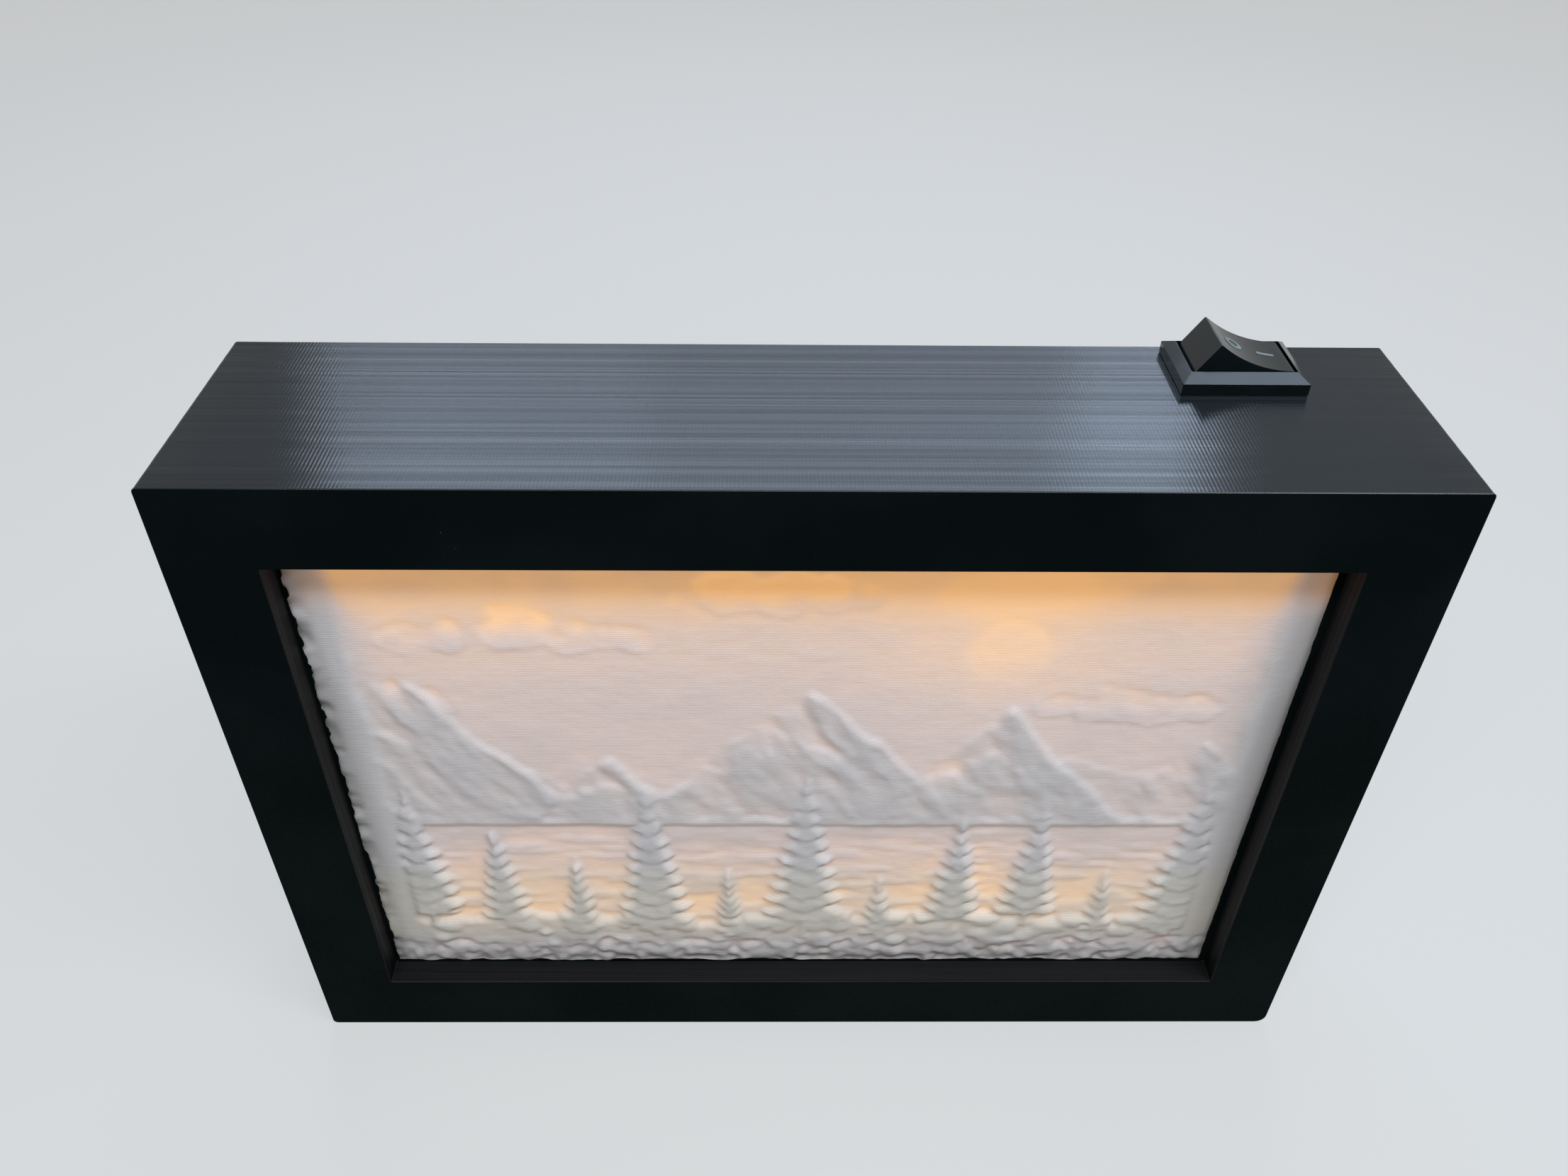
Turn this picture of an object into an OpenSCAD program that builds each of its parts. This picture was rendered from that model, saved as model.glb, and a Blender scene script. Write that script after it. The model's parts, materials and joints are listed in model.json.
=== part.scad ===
// Battery lithophane light box: a printed frame with a lit relief panel and a rocker switch in its top wall.
// Millimetres, +Z up, front towards -Y. The origin is on the table, under the middle of the box.

/* [Box] */
// Width of the box
box_w = 200; // [170:1:260]
// Height of the box
box_h = 138; // [120:1:200]
// Depth of the box, front to back
box_d = 45; // [43:0.5:70]
// Thickness of the four side walls
wall = 3; // [2:0.1:3.6]
// Width of the border round the picture, seen from the front
border = 15; // [13:0.5:22]
// Thickness of the front lip
lip_t = 5; // [3:0.1:7]
// Radius of the four long corner edges
corner_r = 0.8; // [0.3:0.1:2]

/* [Relief panel] */
// How far the panel reaches behind the lip on each side
panel_tuck = 4; // [2:0.1:5]
// Greatest thickness of the panel
panel_t = 3; // [2.8:0.1:4]
// Gap between the panel's edge and the well it sits in
panel_clear = 0.3; // [0.1:0.05:0.6]
// Width of the plain strip at the left and right of the picture
plain_strip = 7; // [0:0.5:12]
// Thickness of the plain strips
strip_relief = 2; // [1:0.1:2.6]
// Thickness of the sky
sky_t = 1.3; // [1:0.1:2]
// Thickness of the sun, the brightest part
sun_t = 0.8; // [0.6:0.1:1]
// Radius of the sun
sun_r = 9; // [4:0.5:14]
// Distance of the sun from the middle, to the right
sun_x = 34; // [-60:1:60]
// Height of the horizon above the bottom of the window
horizon = 42; // [30:1:60]
// Height of the sun above the horizon
sun_rise = 44; // [30:1:60]
// Thickness of the mountains
mountain_t = 1.9; // [1.4:0.1:2.4]
// Height of the tallest mountain above the horizon
mountain_h = 40; // [15:1:60]
// Distance from one mountain to the next
mountain_pitch = 36; // [20:1:60]
// Thickness of the lake
lake_t = 1.1; // [0.8:0.1:1.3]
// Thickness of the ripples on the lake
ripple_t = 1.5; // [1.4:0.1:2]
// Distance from one ripple to the next
ripple_pitch = 6; // [4:0.5:10]
// Thickness of the near bank
bank_t = 2.3; // [2:0.1:2.6]
// Height of the near bank above the bottom of the window
bank_h = 13; // [6:0.5:24]
// Thickness of the trees
tree_t = 2.7; // [2.4:0.1:2.8]
// Height of the tallest tree
tree_h = 46; // [20:1:60]
// Distance from one tree to the next
tree_pitch = 15; // [10:1:30]

/* [Light chamber] */
// Thickness of the well's wall round the panel
well_wall = 2; // [1.2:0.1:2.4]
// Thickness of the white liner
liner_t = 2; // [1.2:0.1:3]
// Thickness of the plate that closes the chamber
plate_t = 2; // [1.6:0.1:3]
// Gap between the plate and the walls round it
plate_clear = 0.3; // [0.1:0.05:0.6]
// Distance of the plate's screws from the middle, up and down
plate_screw_z = 32; // [15:1:45]
// Length of the blocks that take the plate's screws
boss_l = 9; // [6:0.5:14]
// Radius of the plate's screws
plate_screw_r = 1.1; // [0.9:0.05:1.4]
// Length of the plate's screws under the head
plate_screw_l = 8; // [5:0.5:12]
// Radius of the hole for the leads
lead_hole_r = 2.8; // [2:0.1:3]

/* [Light strip] */
// Width of the strip
strip_w = 8; // [5:0.5:10]
// Thickness of the strip
strip_t = 0.3; // [0.2:0.05:0.6]
// Radius of the strip's bends
strip_bend = 4; // [2:0.5:8]
// Length left bare at the corner where the leads come in
strip_gap = 6; // [5:0.5:10]
// Distance from one light to the next
led_pitch = 16.6; // [10:0.1:34]
// Side of each square light
led_w = 5; // [2.5:0.1:5.5]
// Height of each light above the strip
led_h = 1.6; // [0.6:0.1:2]
// Length of each resistor
resistor_l = 2; // [1:0.1:3.2]
// Height of each resistor
resistor_h = 0.5; // [0.3:0.05:0.8]

/* [Back cover] */
// Thickness of the back cover and its door
cover_t = 2.5; // [2.4:0.1:3]
// Gap between the cover and the walls round it
cover_clear = 0.3; // [0.1:0.05:0.6]
// Radius of the cover screws
screw_r = 1.45; // [1.2:0.05:1.5]
// Length of the cover screws
screw_l = 8; // [6:0.5:14]
// Radius of the screw heads
head_r = 2.8; // [2.4:0.1:3.2]
// Radius of the brass inserts
insert_r = 2.2; // [1.9:0.05:2.4]
// Length of the brass inserts
insert_l = 5; // [3:0.5:8]

/* [Battery door] */
// How far the door's hinge lies above the tray
door_over = 3; // [2:0.1:8]
// How far the door reaches below the tray
door_under = 9; // [8.6:0.1:14]
// How much wider the door is than the tray, at each side
door_side = 1; // [0.5:0.1:5]
// Gap round the door
door_clear = 0.4; // [0.2:0.05:0.8]
// Radius of the hinge pins
hinge_r = 0.8; // [0.6:0.05:0.9]
// Length of each hinge pin
hinge_l = 3; // [2:0.1:5]
// Thickness of the ledge behind the door's free edge
ledge_t = 3; // [2.6:0.1:5]
// How far the ledge reaches up behind the door
ledge_up = 6.6; // [6.2:0.1:8]
// Gap between the ledge and the closed door
ledge_clear = 0.15; // [0.1:0.05:0.3]
// Radius of the magnets
magnet_r = 2.8; // [2:0.1:3]
// Thickness of the magnets
magnet_t = 2; // [1:0.1:2]
// Distance of the magnets from the door's middle
magnet_x = 18; // [8:0.5:24]
// Radius of the ball that shapes the finger scoop
scoop_r = 9; // [6:0.5:12]
// Depth of the finger scoop
scoop_depth = 1.8; // [1:0.1:2.2]

/* [Batteries] */
// Diameter of a cell
cell_d = 14.2; // [13.6:0.1:14.6]
// Length of a cell with its nub
cell_l = 50; // [44:0.5:52]
// Radius of the nub
nub_r = 2.75; // [2:0.05:3.5]
// Height of the nub
nub_h = 1; // [0.8:0.1:1.6]
// Number of cells
cell_count = 3; // [2:1:4]
// Gap between two cells
cell_gap = 1.2; // [1.1:0.1:3]
// Height of the tray's underside above the table
tray_rise = 30; // [24:1:50]
// Thickness of the tray's walls
tray_wall = 1.6; // [1.2:0.1:2.4]
// Thickness of the tray's floor
tray_floor = 1.2; // [0.8:0.1:2]
// Thickness of the foam tape under the tray
tape_t = 0.8; // [0.5:0.1:1.5]
// Width of each strip of foam tape
tape_w = 12; // [6:1:20]
// Room between the cells and the door
door_room = 1.2; // [0.8:0.1:3]
// Length of a spring as fitted
spring_l = 5; // [4:0.1:7]
// Radius of a spring at its wide end
spring_wide = 4; // [3.4:0.1:4.6]
// Radius of a spring at its narrow end
spring_narrow = 2.4; // [2:0.1:3]
// Radius of the spring wire
spring_wire = 0.35; // [0.25:0.01:0.4]
// Thickness of the contacts
contact_t = 0.4; // [0.3:0.05:0.6]
// Width of the contacts
contact_w = 10; // [8:0.5:12]
// Length of the soldering lugs outside the tray
lug_l = 3.5; // [2:0.5:6]

/* [Switch] */
// Distance of the switch's middle from the right side of the box
switch_side = 29.2; // [20:0.1:90]
// Gap between the switch's body and the back cover
switch_gap = 0.4; // [0.3:0.1:3]
// Length of the bezel
bezel_l = 21; // [20.4:0.1:23]
// Width of the bezel
bezel_w = 15; // [14:0.1:17]
// Height of the bezel's upright edge
bezel_edge = 2; // [0.6:0.1:2.4]
// Height of the bezel
bezel_h = 3.2; // [2.6:0.1:3.6]
// Length of the body behind the wall
body_l = 19; // [18.8:0.1:20]
// Width of the body behind the wall
body_w = 12.8; // [12.4:0.1:13.4]
// Depth of the body below the rocker's pivot
body_h = 15.5; // [15.2:0.1:18]
// Height of the rocker's pivot above the top of the box
pivot_rise = 0.6; // [0.2:0.1:1]
// Gap between the body and its cut-out
cutout_clear = 0.1; // [0.05:0.05:0.3]
// Thickness of the body's floor
floor_t = 1.5; // [1:0.1:2]
// Length of the rocker's opening
rocker_l = 17.5; // [17.4:0.05:17.9]
// Width of the rocker
rocker_w = 10.2; // [9.6:0.1:10.4]
// Gap beside the rocker
rocker_clear = 0.2; // [0.15:0.05:0.4]
// Tilt of the rocker to each side
rocker_tilt = 20; // [16:0.5:20]
// Distance of each ridge from the rocker's middle
ridge_x = 6.97; // [6.5:0.01:7]
// Height of the ridges above the pivot
ridge_z = 5.12; // [4.8:0.02:5.6]
// Slope of the hollow at the ridges
hollow_slope = 18; // [16:1:28]
// Radius of the rocker's pivots
pivot_r = 1; // [0.7:0.05:1.1]
// Length of the rocker's pivots
pivot_l = 0.7; // [0.5:0.05:0.8]
// Gap round a pivot
pivot_clear = 0.06; // [0.03:0.01:0.1]
// Width of the terminals
tab_w = 4.8; // [4:0.1:5.2]
// Thickness of the terminals
tab_t = 0.8; // [0.5:0.05:1]
// Length of the terminals outside the body
tab_l = 8.5; // [7:0.1:10]
// Distance between the terminals
tab_pitch = 6; // [5.6:0.1:6.4]
// Tilt of the see-saw contact to each side
bridge_tilt = 6; // [4:0.5:7]

/* [Hidden] */
$fn = 48;
// A cut runs this far past the face that it opens
past = 1;

// Box, from the front to the back
front_y = -box_d / 2;
back_y = box_d / 2;
mid_z = box_h / 2;
window_w = box_w - 2 * border;
window_h = box_h - 2 * border;
cavity_w = box_w - 2 * wall;
cavity_h = box_h - 2 * wall;
lip_y = front_y + lip_t;
panel_y = lip_y + panel_t;
cover_y = back_y - cover_t;

// Relief panel, its well and the corner pillars outside the well
panel_w = window_w + 2 * panel_tuck;
panel_h = window_h + 2 * panel_tuck;
well_w = panel_w + 2 * panel_clear;
well_h = panel_h + 2 * panel_clear;
pillar = (cavity_w - well_w) / 2;
pillar_x = (cavity_w - pillar) / 2;
pillar_z = (cavity_h - pillar) / 2;
picture_w = window_w - 2 * plain_strip;
window_bottom = -window_h / 2;
horizon_z = window_bottom + horizon;
ripple_h = 1.2;
// Length of a ripple and how far it shifts from one row to the next, as shares of the picture's width
ripple_share = 0.45;
ripple_shift = 0.2;
// Outline of a mountain of height 1
mountain_shape = [[-0.95, 0], [-0.1, 0.94], [0, 1], [0.45, 0.5], [0.85, 0]];
// A tree of height 1: half width of its lowest tier, and how much each tier above is narrower
tree_tiers = 3;
tree_half = 0.2;
tree_taper = 0.045;
tier_step = 0.8 / tree_tiers;
tier_h = 1.4 / tree_tiers;

// Light chamber, between the panel and the plate
cell_clear = 0.1;
bay_d = tape_t + tray_floor + cell_clear + cell_d + door_room;
plate_back = cover_y - bay_d;
plate_front = plate_back - plate_t;
chamber_w = panel_w - 2 * liner_t;
chamber_h = panel_h - 2 * liner_t;
chamber_y = (panel_y + plate_front) / 2;
boss_w = pillar - well_wall;
boss_x = (cavity_w - boss_w) / 2;
lead_x = (chamber_w - strip_gap) / 2;
lead_z = mid_z + (chamber_h - strip_gap) / 2;

// Light strip: glue under it, bare pads at its end, resistors half way between the lights
strip_glue = 0.05;
pad_l = 3;
resistor_w = 1.2;
led_margin = strip_gap + pad_l + led_w / 2;

// Screws and their holes
thread_clear = 0.04;
hole_clear = 0.2;
head_h = head_r - screw_r;
pan_r = plate_screw_r + 1;
pan_h = 1.3;
insert_bore_l = max(insert_l, screw_l - cover_t) + past;

// Battery tray and the cells in it
cell_pitch = cell_d + cell_gap;
bay_l = cell_l + spring_l + 2 * contact_t;
tray_w = bay_l + 2 * tray_wall;
tray_h = cell_count * cell_pitch + 2 * tray_wall;
tray_y = plate_back + tape_t;
tray_d = tray_floor + cell_d;
cell_y = tray_y + tray_floor + cell_clear + cell_d / 2;
rib_t = 0.7;
spring_turns = 3;
lug_w = 3;
lug_t = 0.8;
lug_clear = 0.15;

// Battery door and the ledge that it closes against
hinge_z = tray_rise + tray_h + door_over;
hinge_y = back_y - cover_t / 2;
hinge_clear = 0.06;
door_w = tray_w + 2 * door_side;
door_bottom = tray_rise - door_under;
door_top_gap = cover_t / 2 + door_clear;
ledge_w = door_w - 2 * door_side;
ledge_down = 5;
magnet_z = door_bottom + ledge_up / 2;
magnet_clear = 0.05;

// Switch: heights are counted from the pivot
switch_x = box_w / 2 - switch_side;
switch_y = cover_y - switch_gap - body_w / 2;
pivot_z = box_h + pivot_rise;
edge_z = bezel_edge - pivot_rise;
bezel_z = bezel_h - pivot_rise;
well_depth = body_h - floor_t;
opening_w = rocker_w + 2 * rocker_clear;
foot_z = -0.95;
foot_x = sqrt(pow(rocker_l / 2 - rocker_clear, 2) - foot_z * foot_z);
ridge_flat = 0.35;
hollow_r = (ridge_x - ridge_flat) / sin(hollow_slope);
claw_w = 6;
claw_h = 5;
claw_out = 0.9;
claw_clear = 0.1;

// Plunger in the rocker's stem, and the see-saw contact below it
plunger_tip = 7;
plunger_r = 1.4;
plunger_clear = 0.1;
plunger_top = 2.4;
stem_r = 2.3;
stem_l = 5;
bore_top = 2.2;
coil_r = 1.05;
coil_wire = 0.2;
coil_turns = 4;
shell_t = 1.3;
shell_top = 2;
bridge_top = 1.25;
bridge_gap = 0.15;
bridge_drop = plunger_tip + bridge_gap + bridge_top;
bridge_t = 0.6;
bridge_w = 4.2;
bridge_flat = 0.5;
bridge_l = 6.6;
bridge_wing = 14;
bridge_pin_r = 0.6;
web_w = 1;
ear_t = 0.6;
ear_gap = 0.15;
ear_w = 2.4;
ear_up = 0.9;
rivet_r = 1.1;
rivet_h = 0.5;
rivet_gap = 0.08;
rivet_x = -tab_pitch;
rivet_z = bridge_top + (tab_pitch - bridge_flat) * tan(bridge_wing) - bridge_t - rivet_h;
rivet_low = rivet_x * sin(bridge_tilt) + rivet_z * cos(bridge_tilt) - rivet_r * sin(bridge_tilt);
fixed_top = -bridge_drop + rivet_low - rivet_gap;
fixed_pad = 0.7;
tab_clear = 0.1;

// Push-on connectors and leads
spade_w = 6.4;
spade_t = 3;
spade_gap = 0.3;
spade_floor = 0.8;
spade_top = -body_h - spade_gap;
spade_slot = -body_h - tab_l - tab_clear;
spade_low = spade_slot - spade_floor;
barrel_r = 1.7;
barrel_l = 6;
lead_r = 0.7;
lead_clear = 0.1;
lead_steps = 3;
lead_grip = 1.9;
// Where the leads start, pass and end
lug_x = tray_w / 2 + lug_l + lead_clear;
plus_lug = [-lug_x, cell_y, tray_rise + tray_wall + (cell_count - 0.5) * cell_pitch];
minus_lug = [lug_x, cell_y, tray_rise + tray_wall + cell_pitch / 2];
tray_top = [0, cell_y, tray_rise + tray_h];
common_barrel = [switch_x, switch_y, pivot_z + spade_low - barrel_l + lead_grip];
line_barrel = common_barrel - [tab_pitch, 0, 0];
hole_back = [lead_x, plate_back, lead_z];
hole_front = [lead_x, plate_front, lead_z];
strip_pad = [
    chamber_w / 2 - strip_gap - 0.8 * pad_l, chamber_y,
    mid_z + chamber_h / 2 - strip_glue - strip_t - lead_r - lead_clear
];
// Points of each lead, counted from the nearest of these
battery_plus = concat(
    from(plus_lug, [[0, 0, 0], [-3.9, 0, 0], [-7.9, 0.1, 2.9], [-8.9, 0.3, 9.9], [-4.9, 0.5, 17.9]]),
    from(plus_lug, [[9.1, 0.3, 22.9]]),
    from(tray_top, [[0, -0.7, 15.6], [26, -1.2, 14.6]]),
    from(line_barrel, [[-17, -1.8, -16], [-5, -0.5, -13], [-0.4, 0, -7], [0, 0, -3], [0, 0, 0]])
);
switch_out = concat(
    from(common_barrel, [[0, 0, 0], [0, 0, -3.5], [1.2, -0.4, -7.5], [4.8, -1.8, -9.5]]),
    from(hole_back, [[-4, 6, -20], [-1.6, 4, -13], [-1, 2.5, -6], [-1, 0.5, -1.5]]),
    from(hole_front, [[-1, -1, 0]]),
    from(strip_pad, [[4.2, 3.4, -0.55], [2.6, 2, -0.05], [0, 2, 0]])
);
battery_minus = concat(
    from(minus_lug, [[0, 0, 0], [3.9, 0, 0], [11.9, -0.2, 1.7], [21.9, -0.7, 8.7]]),
    from(hole_back, [[-19, 7.5, -62], [-11, 6.5, -46], [-4, 5.5, -28], [0.3, 4, -12]]),
    from(hole_back, [[0.9, 2.5, -5], [0.9, 0.3, -1.2]]),
    from(hole_front, [[0.9, -1.5, 0]]),
    from(strip_pad, [[6.1, 1.5, -1.15], [5.3, -1.2, -0.35], [3.2, -2, -0.05], [0, -2, 0]])
);
// A direction that no lead runs along, for turning its rings
lead_side = [0.5, 0.6, 0.25];

function from(place, steps) = [for (step = steps) place + step];
function unit(v) = v / norm(v);
function last(list) = len(list) - 1;
function direction(path, i) = unit(path[min(i + 1, last(path))] - path[max(i - 1, 0)]);
function tube_ring(path, i, r, sides, side) =
    let (along = direction(path, i), across = unit(cross(along, side)), up = cross(along, across))
    [for (k = [0 : sides - 1]) path[i] + r * (cos(360 * k / sides) * across + sin(360 * k / sides) * up)];
// The two triangles between one ring and the next, at place k
function tube_faces(i, k, sides) =
    let (a = i * sides + k, b = i * sides + (k + 1) % sides, c = a + sides, d = b + sides)
    [[a, c, b], [b, c, d]];
// Smooth curve through a list of points
function between(a, b, c, d, t) =
    0.5 * ((2 * b) + (c - a) * t + (2 * a - 5 * b + 4 * c - d) * t * t + (3 * b - a - 3 * c + d) * t * t * t);
function curve(path, steps) = [
    for (i = [0 : last(path) - 1], s = [0 : steps - 1])
        between(path[max(i - 1, 0)], path[i], path[i + 1], path[min(i + 2, last(path))], s / steps),
    path[last(path)]
];
// One spring along +Z: its ends run straight for one wire diameter
function coil(wide, narrow, wire, length, turns) =
    let (steps = 8 * turns, straight = 2 * wire)
    concat([[wide, 0, 0]], [
        for (i = [0 : steps])
            let (t = i / steps, r = wide + (narrow - wide) * t)
            [r * cos(360 * turns * t), r * sin(360 * turns * t), straight + (length - 2 * straight) * t]
    ], [[narrow, 0, length]]);
// Least gap between turns, on points at least five steps apart
function least_gap(path, wire) = min([
    for (i = [0 : last(path) - 5], j = [i + 5 : last(path)]) norm(path[i] - path[j]) - 2 * wire
]);

battery_coil = coil(spring_wide, spring_narrow, spring_wire, spring_l, spring_turns);
rocker_coil = coil(coil_r, coil_r, coil_wire, bore_top + plunger_top, coil_turns);
echo(battery_spring_gap = least_gap(battery_coil, spring_wire));
echo(rocker_spring_gap = least_gap(rocker_coil, coil_wire));

module tube(path, r, sides, side) {
    rings = last(path);
    polyhedron(
        points = [for (i = [0 : rings]) each tube_ring(path, i, r, sides, side)],
        faces = concat(
            [for (i = [0 : rings - 1], k = [0 : sides - 1]) each tube_faces(i, k, sides)],
            [for (k = [1 : sides - 2]) [0, k, k + 1]],
            [for (k = [1 : sides - 2]) [rings * sides, rings * sides + k + 1, rings * sides + k]]
        )
    );
}

// Stands a front-view outline up: it reaches from y = back towards the front
module upright(back, depth) {
    translate([0, back, mid_z])
        rotate([90, 0, 0])
            linear_extrude(depth)
                children();
}

module rounded(w, h, r) {
    square([w - 2 * r, h], center = true);
    square([w, h - 2 * r], center = true);
    for (x = [-1, 1], z = [-1, 1])
        translate([x * (w / 2 - r), z * (h / 2 - r)])
            circle(r);
}

module outline(w, h) {
    square([w, h], center = true);
}

module at_corners() {
    for (x = [-1, 1], z = [-1, 1])
        translate([x * pillar_x, z * pillar_z])
            children();
}

module at_plate_screws() {
    for (x = [-1, 1], z = [-1, 1])
        translate([x * boss_x, z * plate_screw_z])
            children();
}

// Puts children at the switch's pivot
module at_switch() {
    translate([switch_x, switch_y, pivot_z])
        children();
}

// A block with its middle at x and y, reaching from z0 up to z1
module block(l, w, z0, z1, x = 0) {
    translate([x - l / 2, -w / 2, z0])
        cube([l, w, z1 - z0]);
}

module pin_y(r, l) {
    rotate([90, 0, 0])
        cylinder(h = l, r = r, center = true);
}

module pin_x(r, l) {
    rotate([0, 90, 0])
        cylinder(h = l, r = r, center = true);
}

// A cylinder from y = back towards the front
module peg(back, l, r) {
    translate([0, back, 0])
        rotate([90, 0, 0])
            cylinder(h = l, r = r);
}

module frame() {
    color("#191a1d")
        difference() {
            union() {
                upright(back_y, box_d)
                    difference() {
                        rounded(box_w, box_h, corner_r);
                        outline(cavity_w, cavity_h);
                    }
                upright(lip_y, lip_t)
                    rounded(box_w, box_h, corner_r);
                upright(plate_front, plate_front - lip_y)
                    difference() {
                        outline(well_w + 2 * well_wall, well_h + 2 * well_wall);
                        outline(well_w, well_h);
                    }
                upright(cover_y, cover_y - lip_y)
                    at_corners()
                        outline(pillar, pillar);
                upright(plate_front, plate_front - lip_y)
                    at_plate_screws()
                        outline(boss_w, boss_l);
            }
            upright(lip_y + past, lip_t + 2 * past)
                outline(window_w, window_h);
            upright(cover_y + past, insert_bore_l + past)
                at_corners()
                    circle(insert_r + thread_clear);
            upright(plate_front + past, plate_screw_l + past)
                at_plate_screws()
                    circle(plate_screw_r + thread_clear);
            at_switch()
                block(body_l + 2 * cutout_clear, body_w + 2 * cutout_clear, -pivot_rise - wall - past, past);
        }
}

// Relief panel: a lake with trees on its near bank, mountains behind it and a low sun
function mountain_height(i) = mountain_h * (0.72 + 0.28 * sin(137 * i + 40));
function tree_height(i) = tree_h * (0.66 + 0.34 * sin(151 * i + 70));
function row(width, pitch) = [for (i = [0 : floor(width / pitch)]) -floor(width / pitch) / 2 + i];

module mountain(i) {
    polygon(mountain_height(i) * mountain_shape);
}

module tree(h) {
    for (k = [0 : tree_tiers - 1])
        let (half = tree_half - tree_taper * k)
            translate([0, h * k * tier_step])
                polygon(h * [[-half, 0], [half, 0], [0, tier_h]]);
}

module picture() {
    intersection() {
        children();
        outline(picture_w, window_h);
    }
}

module lithophane_panel() {
    bank_z = window_bottom + bank_h;
    mountains = row(picture_w, mountain_pitch);
    trees = row(picture_w, tree_pitch);
    ripples = floor((horizon - bank_h) / ripple_pitch);
    color("#f3e6cf")
        union() {
            upright(panel_y, panel_t)
                difference() {
                    outline(panel_w, panel_h);
                    outline(window_w, window_h);
                }
            upright(panel_y, strip_relief)
                difference() {
                    outline(window_w + panel_tuck, window_h + panel_tuck);
                    outline(picture_w, window_h);
                }
            upright(panel_y, lake_t)
                outline(window_w, window_h);
            difference() {
                upright(panel_y, sky_t)
                    translate([-picture_w / 2, horizon_z])
                        square([picture_w, window_h - horizon]);
                upright(panel_y - sun_t, sky_t)
                    translate([sun_x, horizon_z + sun_rise])
                        circle(sun_r);
            }
            upright(panel_y, mountain_t)
                picture()
                    for (i = mountains)
                        translate([i * mountain_pitch, horizon_z])
                            mountain(i);
            upright(panel_y, ripple_t)
                picture()
                    for (i = [1 : ripples])
                        translate([picture_w * ripple_shift * sin(110 * i), horizon_z - i * ripple_pitch])
                            outline(picture_w * ripple_share, ripple_h);
            upright(panel_y, bank_t)
                translate([-picture_w / 2, window_bottom])
                    square([picture_w, bank_h]);
            upright(panel_y, tree_t)
                picture()
                    for (i = trees)
                        translate([i * tree_pitch, bank_z - ripple_pitch * (1 + sin(97 * i)) / 2])
                            tree(tree_height(i));
        }
}

module reflector_ring() {
    color("#f4f4f1")
        upright(plate_front, plate_front - panel_y)
            difference() {
                outline(panel_w, panel_h);
                outline(chamber_w, chamber_h);
            }
}

module chamber_plate() {
    color("#efefec")
        upright(plate_back, plate_t)
            difference() {
                outline(cavity_w - 2 * plate_clear, cavity_h - 2 * plate_clear);
                at_corners()
                    outline(pillar + 2 * plate_clear, pillar + 2 * plate_clear);
                at_plate_screws()
                    circle(plate_screw_r + hole_clear);
                translate([lead_x, lead_z - mid_z])
                    circle(lead_hole_r);
            }
}

module plate_screws() {
    color("#b9bcc0")
        union() {
            upright(plate_back, plate_screw_l)
                at_plate_screws()
                    circle(plate_screw_r);
            upright(plate_back + pan_h, pan_h)
                at_plate_screws()
                    circle(pan_r);
        }
}

// The four inner faces of the chamber: 0 top, 1 right, 2 bottom, 3 left
function side_length(k) = k % 2 == 0 ? chamber_w : chamber_h;
function side_distance(k) = (k % 2 == 0 ? chamber_h : chamber_w) / 2 - strip_glue - strip_t;
function led_count(k) = floor((side_length(k) - 2 * led_margin) / led_pitch) + 1;

// Puts children on the strip's surface on one face of the chamber, facing +Z outwards
module on_strip(k, along) {
    translate([0, chamber_y, mid_z])
        rotate([0, 90 * k, 0])
            translate([along, 0, side_distance(k)])
                children();
}

module led_strip() {
    outer_w = chamber_w - 2 * strip_glue;
    outer_h = chamber_h - 2 * strip_glue;
    color("#f0e7c8")
        upright(chamber_y + strip_w / 2, strip_w)
            difference() {
                rounded(outer_w, outer_h, strip_bend);
                rounded(outer_w - 2 * strip_t, outer_h - 2 * strip_t, strip_bend - strip_t);
                translate([(chamber_w + past) / 2, (chamber_h + past) / 2])
                    outline(2 * strip_gap + past, 2 * strip_gap + past);
            }
}

module led_chips() {
    color("#f7d774")
        for (k = [0 : 3], i = [0 : led_count(k) - 1])
            on_strip(k, (i - (led_count(k) - 1) / 2) * led_pitch)
                block(led_w, led_w, -led_h, 0);
}

module strip_resistors() {
    color("#26262a")
        for (k = [0 : 3], i = [1 : led_count(k) - 1])
            on_strip(k, (i - led_count(k) / 2) * led_pitch)
                block(resistor_l, resistor_w, -resistor_h, 0);
}

module back_cover() {
    opening_h = hinge_z + door_top_gap - door_bottom + door_clear;
    sink_r = screw_r + hole_clear;
    color("#1b1c1f")
        difference() {
            union() {
                upright(back_y, cover_t)
                    difference() {
                        outline(cavity_w - 2 * cover_clear, cavity_h - 2 * cover_clear);
                        translate([0, door_bottom - door_clear - mid_z + opening_h / 2])
                            outline(door_w + 2 * door_clear, opening_h);
                        at_corners()
                            circle(screw_r + hole_clear);
                    }
                upright(cover_y - ledge_clear, ledge_t - ledge_clear)
                    translate([0, door_bottom - mid_z + (ledge_up - ledge_down) / 2])
                        outline(ledge_w, ledge_up + ledge_down);
                upright(cover_y, ledge_t)
                    translate([0, door_bottom - door_clear - mid_z - ledge_down / 2])
                        outline(ledge_w, ledge_down);
            }
            translate([0, 0, mid_z])
                for (x = [-1, 1], z = [-1, 1])
                    translate([x * pillar_x, back_y - head_h, z * pillar_z])
                        rotate([-90, 0, 0])
                            cylinder(h = head_h + past, r1 = sink_r, r2 = sink_r + head_h + past);
            for (x = [-1, 1])
                translate([x * magnet_x, 0, magnet_z])
                    peg(cover_y, magnet_t + ledge_clear, magnet_r + magnet_clear);
            translate([0, hinge_y, hinge_z])
                pin_x(hinge_r + hinge_clear, door_w + 2 * (hinge_l + door_clear));
            translate([0, back_y + scoop_r - scoop_depth, door_bottom])
                sphere(scoop_r);
        }
}

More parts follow.
